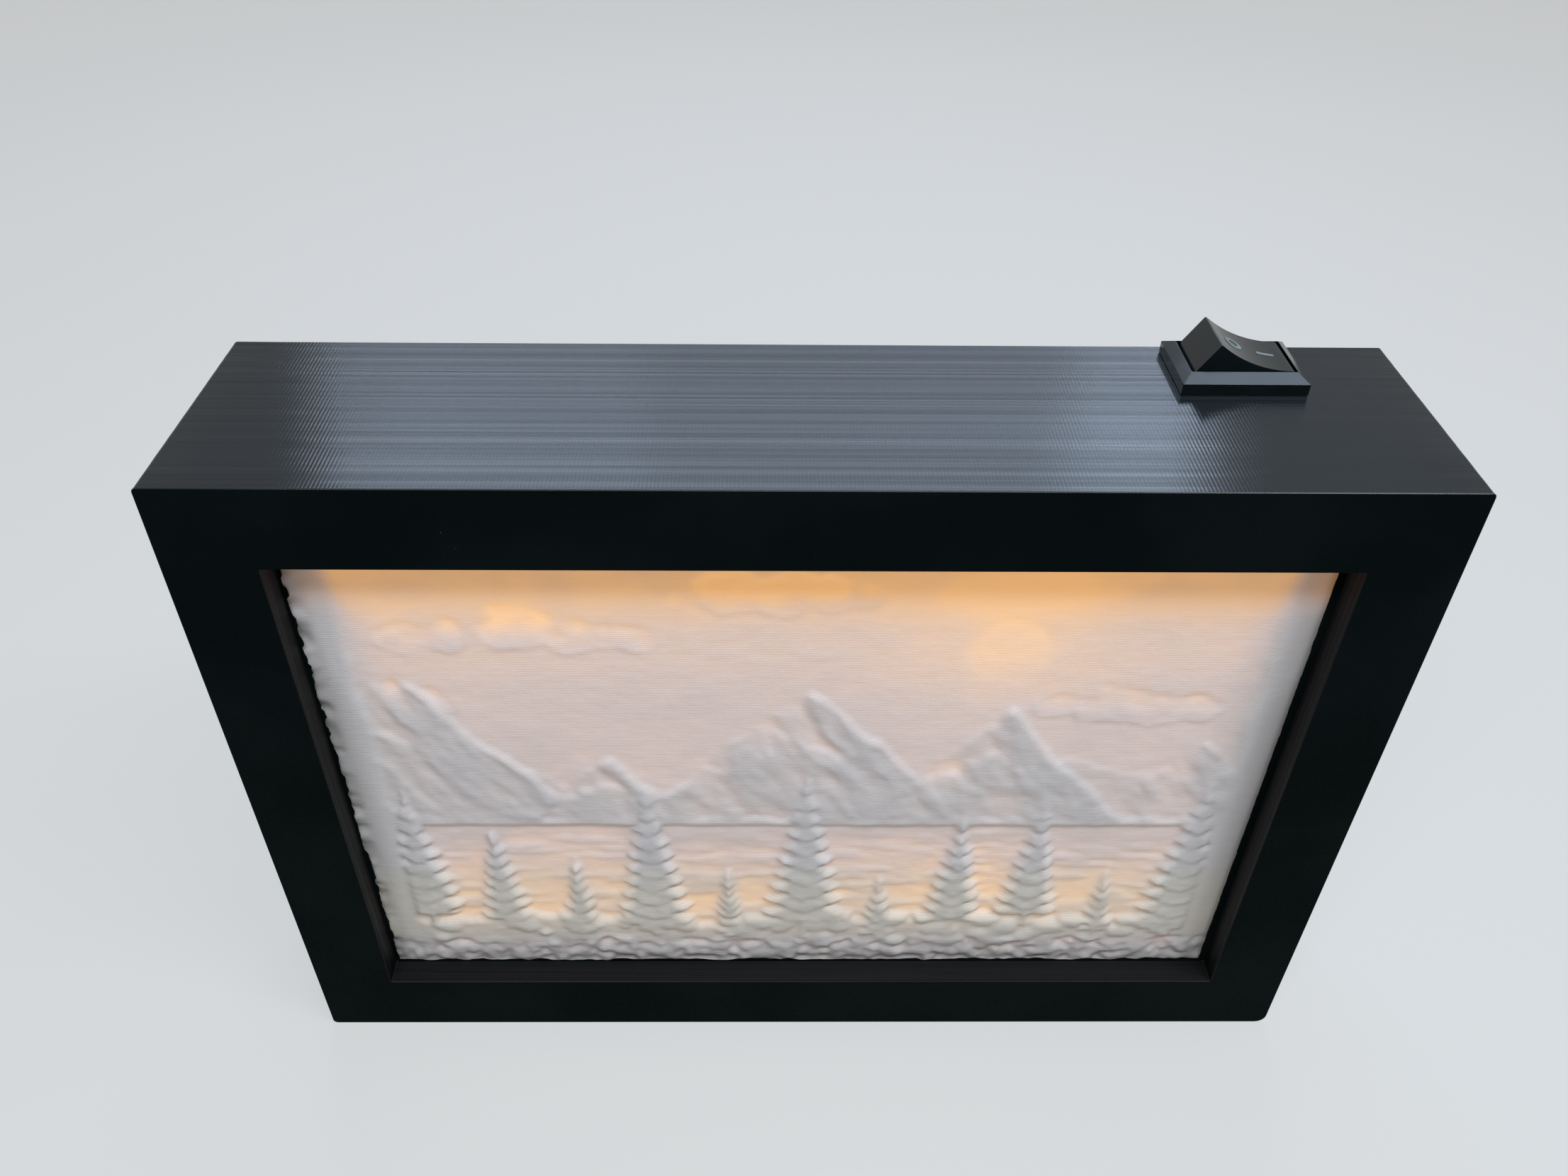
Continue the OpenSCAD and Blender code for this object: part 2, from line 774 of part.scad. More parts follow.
module threaded_inserts() {
    color("#c9a14a")
        upright(cover_y, insert_l)
            at_corners()
                difference() {
                    circle(insert_r);
                    circle(screw_r + thread_clear);
                }
}

module cover_screws() {
    socket_r = 1.1;
    socket_h = 1;
    color("#3a3b3f")
        translate([0, back_y, mid_z])
            for (x = [-1, 1], z = [-1, 1])
                translate([x * pillar_x, 0, z * pillar_z])
                    rotate([90, 0, 0])
                        difference() {
                            union() {
                                cylinder(h = head_h, r1 = head_r, r2 = screw_r);
                                cylinder(h = screw_l, r = screw_r);
                            }
                            translate([0, 0, -past])
                                cylinder(h = socket_h + past, r = socket_r, $fn = 6);
                        }
}

module battery_door() {
    door_h = hinge_z - door_bottom;
    color("#1d1e21")
        difference() {
            union() {
                upright(back_y, cover_t)
                    translate([0, hinge_z - mid_z - door_h / 2])
                        outline(door_w, door_h);
                translate([0, hinge_y, hinge_z]) {
                    pin_x(cover_t / 2, door_w);
                    pin_x(hinge_r, door_w + 2 * hinge_l);
                }
            }
            for (x = [-1, 1])
                translate([x * magnet_x, 0, magnet_z])
                    peg(cover_y + magnet_t, magnet_t + past, magnet_r + magnet_clear);
        }
}

module magnets(back) {
    color("#c8cacd")
        for (x = [-1, 1])
            translate([x * magnet_x, 0, magnet_z])
                peg(back, magnet_t, magnet_r);
}

module door_magnets() {
    magnets(cover_y + magnet_t);
}

module cover_magnets() {
    magnets(cover_y - ledge_clear);
}

// Cells lie along X, one above the other, and point left and right in turn
function cell_z(i) = tray_rise + tray_wall + cell_pitch * (i + 0.5);
function nub_side(i) = i % 2 == 0 ? -1 : 1;

// Puts children at the middle of the end wall's inner face: +X points out of the tray
module at_end(side, z) {
    translate([0, cell_y, z])
        mirror([side < 0 ? 1 : 0, 0, 0])
            translate([bay_l / 2, 0, 0])
                children();
}

// The soldering lugs: one at the first cell's spring, one at the last cell's nub
module at_lugs() {
    at_end(-nub_side(0), cell_z(0))
        children();
    at_end(nub_side(cell_count - 1), cell_z(cell_count - 1))
        children();
}

module lug(clear) {
    translate([-contact_t, -lug_t / 2 - clear, -lug_w / 2 - clear])
        cube([contact_t + tray_wall + lug_l, lug_t + 2 * clear, lug_w + 2 * clear]);
}

module battery_tray() {
    color("#202024")
        difference() {
            union() {
                translate([-tray_w / 2, tray_y, tray_rise])
                    cube([tray_w, tray_floor, tray_h]);
                translate([0, tray_y, tray_rise])
                    for (x = [-1, 1])
                        translate([x * (tray_w - tray_wall) / 2 - tray_wall / 2, 0, 0])
                            cube([tray_wall, tray_d, tray_h]);
                for (z = [tray_rise, tray_rise + tray_h - tray_wall])
                    translate([-tray_w / 2, tray_y, z])
                        cube([tray_w, tray_d, tray_wall]);
                for (i = [1 : cell_count - 1])
                    translate([-cell_l / 2, tray_y, cell_z(i) - (cell_pitch + rib_t) / 2])
                        cube([cell_l, cell_y - tray_y, rib_t]);
            }
            at_lugs()
                lug(lug_clear);
        }
}

module tray_tape() {
    color("#e9e6dc")
        for (x = [-1, 1])
            translate([x * (tray_w / 2 - tape_w) - tape_w / 2, plate_back, tray_rise])
                cube([tape_w, tape_t, tray_h]);
}

module battery_cells() {
    color("#9aa3ab")
        for (i = [0 : cell_count - 1])
            at_end(nub_side(i), cell_z(i))
                translate([-contact_t, 0, 0])
                    rotate([0, -90, 0]) {
                        cylinder(h = nub_h, r = nub_r);
                        translate([0, 0, nub_h])
                            cylinder(h = cell_l - nub_h, r = cell_d / 2);
                    }
}

module battery_springs() {
    color("#cfd2d4")
        for (i = [0 : cell_count - 1])
            at_end(-nub_side(i), cell_z(i))
                translate([-contact_t, 0, 0])
                    rotate([0, -90, 0])
                        tube(battery_coil, spring_wire, 6, [0.3, 0.2, 1]);
}

// A contact plate against an end wall, reaching up over more cells if it is a link
module contact(side, i, cells) {
    at_end(side, cell_z(i))
        translate([-contact_t, -contact_w / 2, -contact_w / 2])
            cube([contact_t, contact_w, contact_w + (cells - 1) * cell_pitch]);
}

module battery_contacts() {
    color("#c3c6c8")
        union() {
            for (i = [0 : cell_count - 2])
                contact(nub_side(i), i, 2);
            contact(-nub_side(0), 0, 1);
            contact(nub_side(cell_count - 1), cell_count - 1, 1);
            at_lugs()
                lug(0);
        }
}

// A roof-like block: full size at z0, drawn in by the same amount on every side at z1
module bevelled(l, w, z0, z1, inset_l, inset_w) {
    intersection() {
        rotate([90, 0, 0])
            linear_extrude(w, center = true)
                polygon([[-l / 2, z0], [l / 2, z0], [l / 2 - inset_l, z1], [inset_l - l / 2, z1]]);
        rotate([90, 0, 90])
            linear_extrude(l, center = true)
                polygon([[-w / 2, z0], [w / 2, z0], [w / 2 - inset_w, z1], [inset_w - w / 2, z1]]);
    }
}

module tab_slot(x) {
    block(tab_t + 2 * tab_clear, tab_w + 2 * tab_clear, -body_h - past, -well_depth + past, x);
}

module switch_housing() {
    inset_l = (bezel_l - rocker_l) / 2;
    inset_w = (bezel_w - opening_w) / 2;
    color("#1f2120")
        at_switch()
            difference() {
                union() {
                    block(bezel_l, bezel_w, -pivot_rise, edge_z);
                    bevelled(bezel_l, bezel_w, edge_z, bezel_z, inset_l, inset_w);
                    block(body_l, body_w, -body_h, -pivot_rise);
                    for (side = [0, 1])
                        mirror([side, 0, 0])
                            translate([body_l / 2, 0, -pivot_rise - wall - claw_clear])
                                rotate([90, 0, 0])
                                    linear_extrude(claw_w, center = true)
                                        polygon([[-claw_clear, 0], [claw_out, 0], [-claw_clear, -claw_h]]);
                }
                block(rocker_l, opening_w, -well_depth, bezel_z + past);
                pin_y(pivot_r + pivot_clear, opening_w + 2 * pivot_l);
                tab_slot(0);
                tab_slot(-tab_pitch);
            }
}

module switch_rocker() {
    hollow_z = ridge_z + hollow_r * cos(hollow_slope);
    profile = [[-ridge_x, ridge_z], [ridge_x, ridge_z], [foot_x, foot_z], [-foot_x, foot_z]];
    color("#222423")
        at_switch()
            rotate([0, rocker_tilt, 0])
                difference() {
                    union() {
                        rotate([90, 0, 0])
                            linear_extrude(rocker_w, center = true)
                                polygon(profile);
                        pin_y(pivot_r, opening_w + 2 * (pivot_l - pivot_clear));
                        translate([0, 0, -stem_l])
                            cylinder(h = stem_l, r = stem_r);
                    }
                    translate([0, 0, hollow_z])
                        pin_y(hollow_r, rocker_w + past);
                    for (side = [-1, 1])
                        block(ridge_x - stem_r - shell_t, rocker_w - 2 * shell_t, foot_z - past, shell_top,
                            side * (ridge_x + stem_r) / 2);
                    translate([0, 0, -stem_l - past])
                        cylinder(h = stem_l + past + bore_top, r = plunger_r + plunger_clear);
                }
}

module rocker_spring() {
    color("#c9cccf")
        at_switch()
            rotate([0, rocker_tilt, 0])
                translate([0, 0, -plunger_top])
                    tube(rocker_coil, coil_wire, 6, [0.3, 0.2, 1]);
}

module contact_plunger() {
    color("#e8e4d8")
        at_switch()
            rotate([0, rocker_tilt, 0])
                union() {
                    translate([0, 0, plunger_r - plunger_tip])
                        sphere(plunger_r);
                    translate([0, 0, plunger_r - plunger_tip])
                        cylinder(h = plunger_tip - plunger_r - plunger_top, r = plunger_r);
                }
}

module contact_bridge() {
    rise = (bridge_l - bridge_flat) * tan(bridge_wing);
    wing = [[-bridge_l, rise], [-bridge_flat, 0], [bridge_flat, 0], [bridge_l, rise]];
    under = [for (i = [last(wing) : -1 : 0]) wing[i] - [0, bridge_t]];
    color("#c08a4a")
        at_switch()
            translate([0, 0, -bridge_drop])
                rotate([0, -bridge_tilt, 0])
                    union() {
                        rotate([90, 0, 0])
                            linear_extrude(bridge_w, center = true)
                                translate([0, bridge_top])
                                    polygon(concat(wing, under));
                        block(web_w, bridge_w, 0, bridge_top - bridge_t / 2);
                        pin_y(bridge_pin_r, bridge_w + 2 * (ear_gap + ear_t));
                        translate([rivet_x, 0, rivet_z])
                            cylinder(h = rivet_h + bridge_t / 2, r = rivet_r);
                    }
}

module common_terminal() {
    ear_y = bridge_w / 2 + ear_gap;
    color("#cbb98a")
        at_switch()
            difference() {
                union() {
                    block(tab_t, tab_w, -body_h - tab_l, -well_depth);
                    block(ear_w, 2 * (ear_y + ear_t), -well_depth, -well_depth + tab_t);
                    for (side = [-1, 1])
                        translate([0, side * (ear_y + ear_t / 2), 0])
                            block(ear_w, ear_t, -well_depth, ear_up - bridge_drop);
                }
                translate([0, 0, -bridge_drop])
                    pin_y(bridge_pin_r + pivot_clear, 2 * (ear_y + ear_t) + past);
            }
}

module line_terminal() {
    pad_z = fixed_top - rivet_h;
    color("#cbb98a")
        at_switch()
            union() {
                block(tab_t, tab_w, -body_h - tab_l, -well_depth, -tab_pitch);
                block(tab_t, bridge_w, -well_depth, pad_z, -tab_pitch);
                block(2 * rivet_r, bridge_w, pad_z - fixed_pad, pad_z, -tab_pitch);
                translate([-tab_pitch, 0, pad_z - fixed_pad])
                    cylinder(h = rivet_h + fixed_pad, r = rivet_r);
            }
}

module spade_receptacles() {
    color("#d8c79a")
        at_switch()
            for (x = [0, -tab_pitch])
                difference() {
                    union() {
                        block(spade_t, spade_w, spade_low, spade_top, x);
                        translate([x, 0, spade_low - barrel_l])
                            cylinder(h = barrel_l, r = barrel_r);
                    }
                    block(tab_t + 2 * tab_clear, tab_w + 2 * tab_clear, spade_slot, spade_top + past, x);
                    translate([x, 0, spade_low - barrel_l - past])
                        cylinder(h = barrel_l + past, r = lead_r + lead_clear);
                }
}

module lead(path) {
    tube(curve(path, lead_steps), lead_r, 8, lead_side);
}

module lead_battery_to_switch() {
    color("#b3261e")
        lead(battery_plus);
}

module lead_switch_to_strip() {
    color("#b3261e")
        lead(switch_out);
}

module lead_battery_to_strip() {
    color("#16161a")
        lead(battery_minus);
}

frame();
lithophane_panel();
reflector_ring();
chamber_plate();
plate_screws();
led_strip();
led_chips();
strip_resistors();
back_cover();
threaded_inserts();
cover_screws();
battery_door();
door_magnets();
cover_magnets();
battery_tray();
tray_tape();
battery_cells();
battery_springs();
battery_contacts();
switch_housing();
switch_rocker();
rocker_spring();
contact_plunger();
contact_bridge();
common_terminal();
line_terminal();
spade_receptacles();
lead_battery_to_switch();
lead_switch_to_strip();
lead_battery_to_strip();
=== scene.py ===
# Looks of the lithophane light box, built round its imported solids.
# The scene is in metres, +Z up, front towards -Y. Lengths below are millimetres unless they say metres.
import json
import math

import bmesh
import bpy
import numpy as np
from mathutils import Matrix, Vector


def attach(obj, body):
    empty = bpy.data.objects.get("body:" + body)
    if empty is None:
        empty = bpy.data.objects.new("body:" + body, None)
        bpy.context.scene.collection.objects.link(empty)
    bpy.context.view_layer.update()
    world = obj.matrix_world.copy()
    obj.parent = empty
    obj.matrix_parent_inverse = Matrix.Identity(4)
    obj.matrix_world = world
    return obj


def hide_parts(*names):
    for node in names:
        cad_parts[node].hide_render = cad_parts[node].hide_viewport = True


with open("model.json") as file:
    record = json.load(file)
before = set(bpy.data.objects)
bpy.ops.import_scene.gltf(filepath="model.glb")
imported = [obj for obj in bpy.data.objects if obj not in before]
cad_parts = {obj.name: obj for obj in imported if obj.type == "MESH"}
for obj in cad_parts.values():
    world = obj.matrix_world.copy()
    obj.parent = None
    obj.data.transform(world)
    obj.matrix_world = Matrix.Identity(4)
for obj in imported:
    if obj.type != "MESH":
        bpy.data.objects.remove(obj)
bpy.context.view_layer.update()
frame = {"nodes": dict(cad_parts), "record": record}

MM = 0.001
# Photograph width in pixels, and the camera that matches the box's corners in it
PHOTO_W = 2212
FOCAL_PX = 1767.2
SENSOR = 36.0
CAMERA_AT = (-7.14, -173.73, 241.60)
CAMERA_PITCH = 38.836
CAMERA_YAW = 0.874
CAMERA_ROLL = 0.723

# Box, window and panel
HALF_W = 100.0
BOX_H = 138.0
HALF_D = 22.5
# The right bottom corner is worn rounder than the others
CORNER_RADII = (0.8, 0.8, 1.0, 2.2)
WINDOW_HALF_W = 85.0
WINDOW_HALF_H = 54.0
WINDOW_RADII = (0.3,) * 4
MID_Z = BOX_H / 2
LIP_BACK = -17.5
PANEL_BACK = -14.5
PANEL_HALF_W = 89.0
PANEL_HALF_H = 58.0

# Switch: the rocker's pivot, its rest tilt and the shape of its hollow
PIVOT = (70.8, 13.2, 138.6)
ROCKER_TILT = 20.0
RIDGE_Z = 5.12
HOLLOW_HALF = 6.62
HOLLOW_SLOPE = 18.0

# Battery tray and what is in it
CELL_Y = 11.7
CELL_Z = (39.3, 54.7, 70.1)
CONTACT_X = 27.5
LEAD_R = 0.7

# Pitch of the comb across printed layers, in metres
COMB_PITCH = 0.00059


def smooth(low, high, value):
    """0 below low, 1 above high and an easy curve between; low may lie above high."""
    t = np.clip((value - low) / (high - low), 0.0, 1.0)
    return t * t * (3.0 - 2.0 * t)


class Clouds:
    """Seeded soft noise in two directions, from about -1 to 1."""

    SIDE = 64
    SHIFT = 17.3

    def __init__(self, seed):
        self.grid = np.random.default_rng(seed).uniform(-1.0, 1.0, (self.SIDE, self.SIDE))

    def plain(self, x, y):
        """Noise whose bumps are one unit wide."""
        column = np.floor(x).astype(int)
        row = np.floor(y).astype(int)
        u = smooth(0.0, 1.0, x - column)
        v = smooth(0.0, 1.0, y - row)
        left = column % self.SIDE
        right = (column + 1) % self.SIDE
        low = row % self.SIDE
        high = (row + 1) % self.SIDE
        bottom = self.grid[low, left] * (1.0 - u) + self.grid[low, right] * u
        top = self.grid[high, left] * (1.0 - u) + self.grid[high, right] * u
        return bottom * (1.0 - v) + top * v

    def __call__(self, x, y, size, octaves=1):
        """Noise with bumps of a given size, and finer octaves on it."""
        total = 0.0
        share = 1.0
        for k in range(octaves):
            shift = self.SHIFT * k
            total = total + share * self.plain(x / size + shift, y / size + 0.7 * shift)
            size = size / 2.0
            share = share / 2.0
        return total


class Nodes:
    """The nodes of a material or of the world."""

    def __init__(self, owner):
        owner.use_nodes = True
        self.tree = owner.node_tree

    def feed(self, socket, value):
        if isinstance(value, bpy.types.NodeSocket):
            self.tree.links.new(value, socket)
        else:
            socket.default_value = value

    def node(self, kind, inputs=None, **settings):
        made = self.tree.nodes.new(kind)
        for name, value in settings.items():
            setattr(made, name, value)
        for socket, value in (inputs or {}).items():
            self.feed(made.inputs[socket], value)
        return made

    def math(self, operation, first, second=0.0):
        return self.node("ShaderNodeMath", {0: first, 1: second}, operation=operation).outputs[0]

    def show_pale(self, share, shader, pale, output):
        """Mixes a share of a pale shader in, for the camera and for rays from mirrors and glass."""
        rays = self.node("ShaderNodeLightPath").outputs
        mirrored = self.math("ADD", rays["Is Glossy Ray"], rays["Is Transmission Ray"])
        seen = self.math("MULTIPLY", self.math("ADD", rays["Is Camera Ray"], mirrored), share)
        whole = self.node("ShaderNodeMixShader", {0: seen, 1: shader.outputs[0], 2: pale.outputs[0]})
        self.feed(self.tree.nodes[output].inputs["Surface"], whole.outputs[0])


class Look(Nodes):
    """A procedural material. Its patterns' sizes are metres on the object."""

    def __init__(self, name, colour, roughness, **sockets):
        self.material = bpy.data.materials.new(name)
        super().__init__(self.material)
        self.shader = self.tree.nodes["Principled BSDF"]
        self.place = self.node("ShaderNodeTexCoord").outputs["Object"]
        self.normal = None
        self.set("Base Color", (*colour, 1.0))
        self.set("Roughness", roughness)
        for socket, value in sockets.items():
            self.set(socket.replace("_", " "), value)

    def set(self, socket, value):
        self.feed(self.shader.inputs[socket], value)

    def noise(self, size, detail):
        """Soft clouds, 0 to 1, of the given length along X, Y and Z."""
        scaled = self.node("ShaderNodeVectorMath", {0: self.place, 1: size}, operation="DIVIDE")
        inputs = {"Vector": scaled.outputs[0], "Scale": 1.0, "Detail": detail, "Roughness": 0.5}
        return self.node("ShaderNodeTexNoise", inputs).outputs[0]

    def lines(self, direction, pitch):
        """Even lines across a direction, from -1 to 1."""
        along = self.node("ShaderNodeVectorMath", {0: self.place, 1: direction}, operation="DOT_PRODUCT")
        return self.math("SINE", self.math("MULTIPLY", along.outputs["Value"], 2.0 * math.pi / pitch))

    def comb(self):
        """Teeth across the layers of walls that run along X or Z, from -2 to 2."""
        along_x = self.lines((1.0, 0.0, 0.0), COMB_PITCH)
        along_z = self.lines((0.0, 0.0, 1.0), COMB_PITCH)
        return self.math("ADD", along_x, along_z)

    def turn_sheen(self):
        """Spreads an anisotropic sheen along Y, across the printed layers."""
        self.set("Tangent", self.node("ShaderNodeCombineXYZ", {"Y": 1.0}).outputs[0])

    def spread(self, value, low, high, to_low=0.0, to_high=1.0):
        """An easy step from to_low to to_high while the value goes from low to high."""
        inputs = {"Value": value, "From Min": low, "From Max": high, "To Min": to_low, "To Max": to_high}
        return self.node("ShaderNodeMapRange", inputs, interpolation_type="SMOOTHSTEP").outputs[0]

    def mix(self, amount, first, second):
        """A colour between two; each is a socket or a red, green, blue triple."""
        made = self.node("ShaderNodeMix", {0: amount}, data_type="RGBA")
        for socket, colour in ((made.inputs[6], first), (made.inputs[7], second)):
            self.feed(socket, colour if isinstance(colour, bpy.types.NodeSocket) else (*colour, 1.0))
        return made.outputs[2]

    def ramp(self, value, stops):
        """A colour along a value from 0 to 1; the first two stops are the ends."""
        made = self.node("ShaderNodeValToRGB", {"Fac": value})
        for k, (place, colour) in enumerate(stops):
            stop = made.color_ramp.elements[k] if k < 2 else made.color_ramp.elements.new(place)
            stop.position = place
            stop.color = (*colour, 1.0)
        return made.outputs["Color"]

    def bump(self, height, depth):
        """Adds a fine relief, depth metres high for a height of 1."""
        inputs = {"Height": height, "Distance": depth, "Strength": 1.0}
        if self.normal:
            inputs["Normal"] = self.normal
        self.normal = self.node("ShaderNodeBump", inputs).outputs["Normal"]
        self.set("Normal", self.normal)


def printed_wall_look():
    """Black printed walls, layers stacked along Y: streaks along the layers and a comb across them."""
    look = Look("printed_walls", (0.02, 0.021, 0.025), 0.5, Anisotropic=1.0, Specular_IOR_Level=0.33)
    look.turn_sheen()
    bands = look.noise((0.9, 0.0026, 0.9), 3.0)
    thin = look.noise((0.12, 0.0006, 0.12), 1.0)
    both = look.math("ADD", look.math("MULTIPLY", bands, 0.6), look.math("MULTIPLY", thin, 0.4))
    tone = look.spread(both, 0.4, 0.6)
    look.set("Base Color", look.mix(tone, (0.0042, 0.0072, 0.0096), (0.0058, 0.0092, 0.0120)))
    gloss = look.spread(both, 0.4, 0.6, 0.24, 0.18)
    patchy = look.spread(look.noise((0.1, 0.003, 0.1), 2.0), 0.3, 0.7, 0.5, 1.0)
    teeth = look.math("MULTIPLY", look.comb(), patchy)
    look.set("Roughness", look.math("ADD", gloss, look.math("MULTIPLY", teeth, 0.016)))
    look.bump(both, 0.00003)
    look.bump(teeth, 0.0000022)
    return look.material


def printed_front_look():
    """The face that lay on the print bed: nearly black and dull, with fine grain and a few pale specks."""
    look = Look("printed_front", (0.002, 0.004, 0.004), 0.62, Specular_IOR_Level=0.015)
    cloud = look.noise((0.03, 0.03, 0.03), 4.0)
    grain = look.noise((0.00035, 0.00035, 0.00035), 2.0)
    dark = look.mix(look.spread(cloud, 0.35, 0.65), (0.0020, 0.0042, 0.0042), (0.0040, 0.0068, 0.0068))
    specks = look.spread(look.noise((0.0009, 0.0009, 0.0009), 1.0), 0.82, 0.85)
    look.set("Base Color", look.mix(specks, dark, (0.08, 0.10, 0.10)))
    look.set("Roughness", look.spread(grain, 0.3, 0.7, 0.52, 0.72))
    look.bump(grain, 0.00003)
    return look.material


def window_wall_look():
    """The window's own walls: dull charcoal layers with a comb across them, darker than the outer walls as
    painted shade of the recess.
    """
    look = Look("window_walls", (0.004, 0.004, 0.004), 0.5, Anisotropic=0.6, Specular_IOR_Level=0.14)
    look.turn_sheen()
    bands = look.noise((0.05, 0.0005, 0.05), 3.0)
    tone = look.spread(bands, 0.35, 0.65)
    # Darker than the outer walls' base colour: painted shade
    look.set("Base Color", look.mix(tone, (0.0018, 0.0018, 0.0022), (0.0062, 0.006, 0.0062)))
    look.set("Roughness", look.spread(bands, 0.3, 0.7, 0.58, 0.44))
    look.bump(bands, 0.00005)
    look.bump(look.comb(), 0.000006)
    return look.material


def printed_plate_look():
    """Black printed plates of the back, with the slanted lines of their first layer."""
    look = Look("printed_plate", (0.020, 0.021, 0.024), 0.5, Specular_IOR_Level=0.35)
    cloud = look.noise((0.03, 0.03, 0.03), 3.0)
    slant = {"Vector": look.place, "Angle": math.radians(45.0)}
    look.place = look.node("ShaderNodeVectorRotate", slant, rotation_type="Y_AXIS").outputs[0]
    roads = look.noise((0.06, 0.06, 0.0009), 3.0)
    shade = look.math("ADD", look.math("MULTIPLY", cloud, 0.35), look.math("MULTIPLY", roads, 0.65))
    tone = look.spread(shade, 0.38, 0.62)
    look.set("Base Color", look.mix(tone, (0.014, 0.015, 0.018), (0.026, 0.027, 0.031)))
    look.set("Roughness", look.spread(roads, 0.35, 0.65, 0.36, 0.54))
    look.bump(look.lines((0.0, 0.0, 1.0), 0.00045), 0.000018)
    look.bump(roads, 0.00003)
    return look.material


def relief_look():
    """White printed plastic; the light from behind is painted in as emission, so thin places glow warm and
    thick ones stay pale.
    """
    look = Look("relief", (0.82, 0.80, 0.77), 0.55, Specular_IOR_Level=0.25)
    glow = look.node("ShaderNodeAttribute", attribute_name="glow").outputs["Fac"]
    mottle = look.noise((0.004, 0.004, 0.0012), 3.0)
    # Base colour along the painted glow: warmer where thin places glow, darker where no glow shows, as on
    # the side strips: painted light and shade
    pale = look.ramp(glow, [
        (0.0, (0.42, 0.39, 0.37)),
        (1.0, (0.62, 0.55, 0.46)),
        (0.04, (0.60, 0.58, 0.58)),
        (0.35, (0.64, 0.62, 0.65)),
    ])
    height = look.node("ShaderNodeSeparateXYZ", {0: look.place}).outputs["Z"]
    # Painted warm glow in the base colour over the lower part of the picture, above the foot
    rise = look.spread(height, 0.019, 0.026, 0.0, 0.4)
    low = look.math("MULTIPLY", rise, look.spread(height, 0.050, 0.036))
    pale = look.mix(low, pale, (0.63, 0.585, 0.42))
    # Painted shade: the lumps at the very foot made darker
    foot = look.spread(height, 0.023, 0.017, 0.0, 0.4)
    pale = look.mix(foot, pale, (0.40, 0.37, 0.35))
    look.set("Base Color", look.mix(look.spread(mottle, 0.3, 0.7, 0.0, 0.12), pale, (0.50, 0.45, 0.41)))
    # The painted glow: emission from the glow attribute stands in for the LEDs' light through the panel
    look.set("Emission Color", look.ramp(glow, [
        (0.0, (0.0, 0.0, 0.0)),
        (1.0, (0.60, 0.260, 0.034)),
    ]))
    look.set("Emission Strength", 1.0)
    look.bump(look.lines((0.0, 0.0, 1.0), 0.0004), 0.00001)
    look.bump(look.noise((0.0009, 0.0009, 0.0004), 2.0), 0.00004)
    return look.material


def moulded_look(
    name, colour, roughness, grain=0.00012, depth=0.000006, level=0.5, vary=0.06, tone=(0.82, 1.14),
):
    """Moulded plastic or rubber with a fine grain and a faint change of shade."""
    look = Look(name, colour, roughness, Specular_IOR_Level=level)
    cloud = look.noise((0.006, 0.006, 0.006), 3.0)
    darker = tuple(tone[0] * c for c in colour)
    lighter = tuple(min(1.0, tone[1] * c) for c in colour)
    look.set("Base Color", look.mix(look.spread(cloud, 0.3, 0.7), darker, lighter))
    look.set("Roughness", look.spread(cloud, 0.3, 0.7, roughness - vary, roughness + vary))
    look.bump(look.noise((grain, grain, grain), 2.0), depth)
    return look.material


def metal_look(name, colour, roughness, stretch=(0.004, 0.0003, 0.0003)):
    """Plated or plain metal with fine drawn lines and a little tarnish."""
    look = Look(name, colour, roughness, Metallic=1.0)
    drawn = look.noise(stretch, 3.0)
    stain = look.noise((0.003, 0.003, 0.003), 4.0)
    dull = tuple(0.72 * c for c in colour)
    look.set("Base Color", look.mix(look.spread(stain, 0.45, 0.75), colour, dull))
    look.set("Roughness", look.spread(drawn, 0.3, 0.7, roughness - 0.08, roughness + 0.1))
    look.bump(drawn, 0.000006)
    return look.material


# Finish of the switch, and of the cells' sleeves and bands
SWITCH_FINISH = {"depth": 0.000002, "level": 0.38, "vary": 0.02}
CELL_FINISH = {"grain": 0.0002, "depth": 0.000003, "vary": 0.02, "tone": (0.97, 1.02)}
LOOKS = {
    "frame_black": printed_wall_look(),
    "cover_black": printed_plate_look(),
    "relief_white": relief_look(),
    "liner_white": moulded_look("liner", (0.85, 0.85, 0.83), 0.6, 0.0004, 0.00002, 0.3),
    "switch_black": moulded_look("switch_plastic", (0.002, 0.005, 0.006), 0.17, **SWITCH_FINISH),
    "steel": metal_look("zinc_steel", (0.60, 0.61, 0.62), 0.32),
    "black_steel": metal_look("black_steel", (0.05, 0.05, 0.055), 0.4),
    "brass": metal_look("brass", (0.72, 0.53, 0.25), 0.3),
    "copper": metal_look("copper", (0.70, 0.40, 0.20), 0.3),
    "magnet": metal_look("nickel", (0.62, 0.62, 0.63), 0.2, (0.002, 0.002, 0.002)),
    "strip_film": moulded_look("strip_film", (0.86, 0.82, 0.70), 0.45),
    "led_yellow": moulded_look("led_resin", (0.93, 0.78, 0.30), 0.25),
    "resistor_black": moulded_look("ceramic", (0.03, 0.03, 0.035), 0.4),
    "tray_black": moulded_look("tray_plastic", (0.028, 0.028, 0.032), 0.48, 0.0003, 0.00002),
    "foam": moulded_look("foam_tape", (0.80, 0.78, 0.72), 0.85, 0.0005, 0.00012, 0.2),
    "cell_sleeve": moulded_look("cell_sleeve", (0.30, 0.34, 0.38), 0.26, **CELL_FINISH),
    "plunger_nylon": moulded_look("nylon", (0.82, 0.79, 0.70), 0.4),
    "lead_red": moulded_look("red_sleeve", (0.45, 0.03, 0.02), 0.38, 0.0004, 0.00001),
    "lead_black": moulded_look("black_sleeve", (0.015, 0.015, 0.018), 0.38, 0.0004, 0.00001),
}
FRONT_LOOK = printed_front_look()
WINDOW_LOOK = window_wall_look()
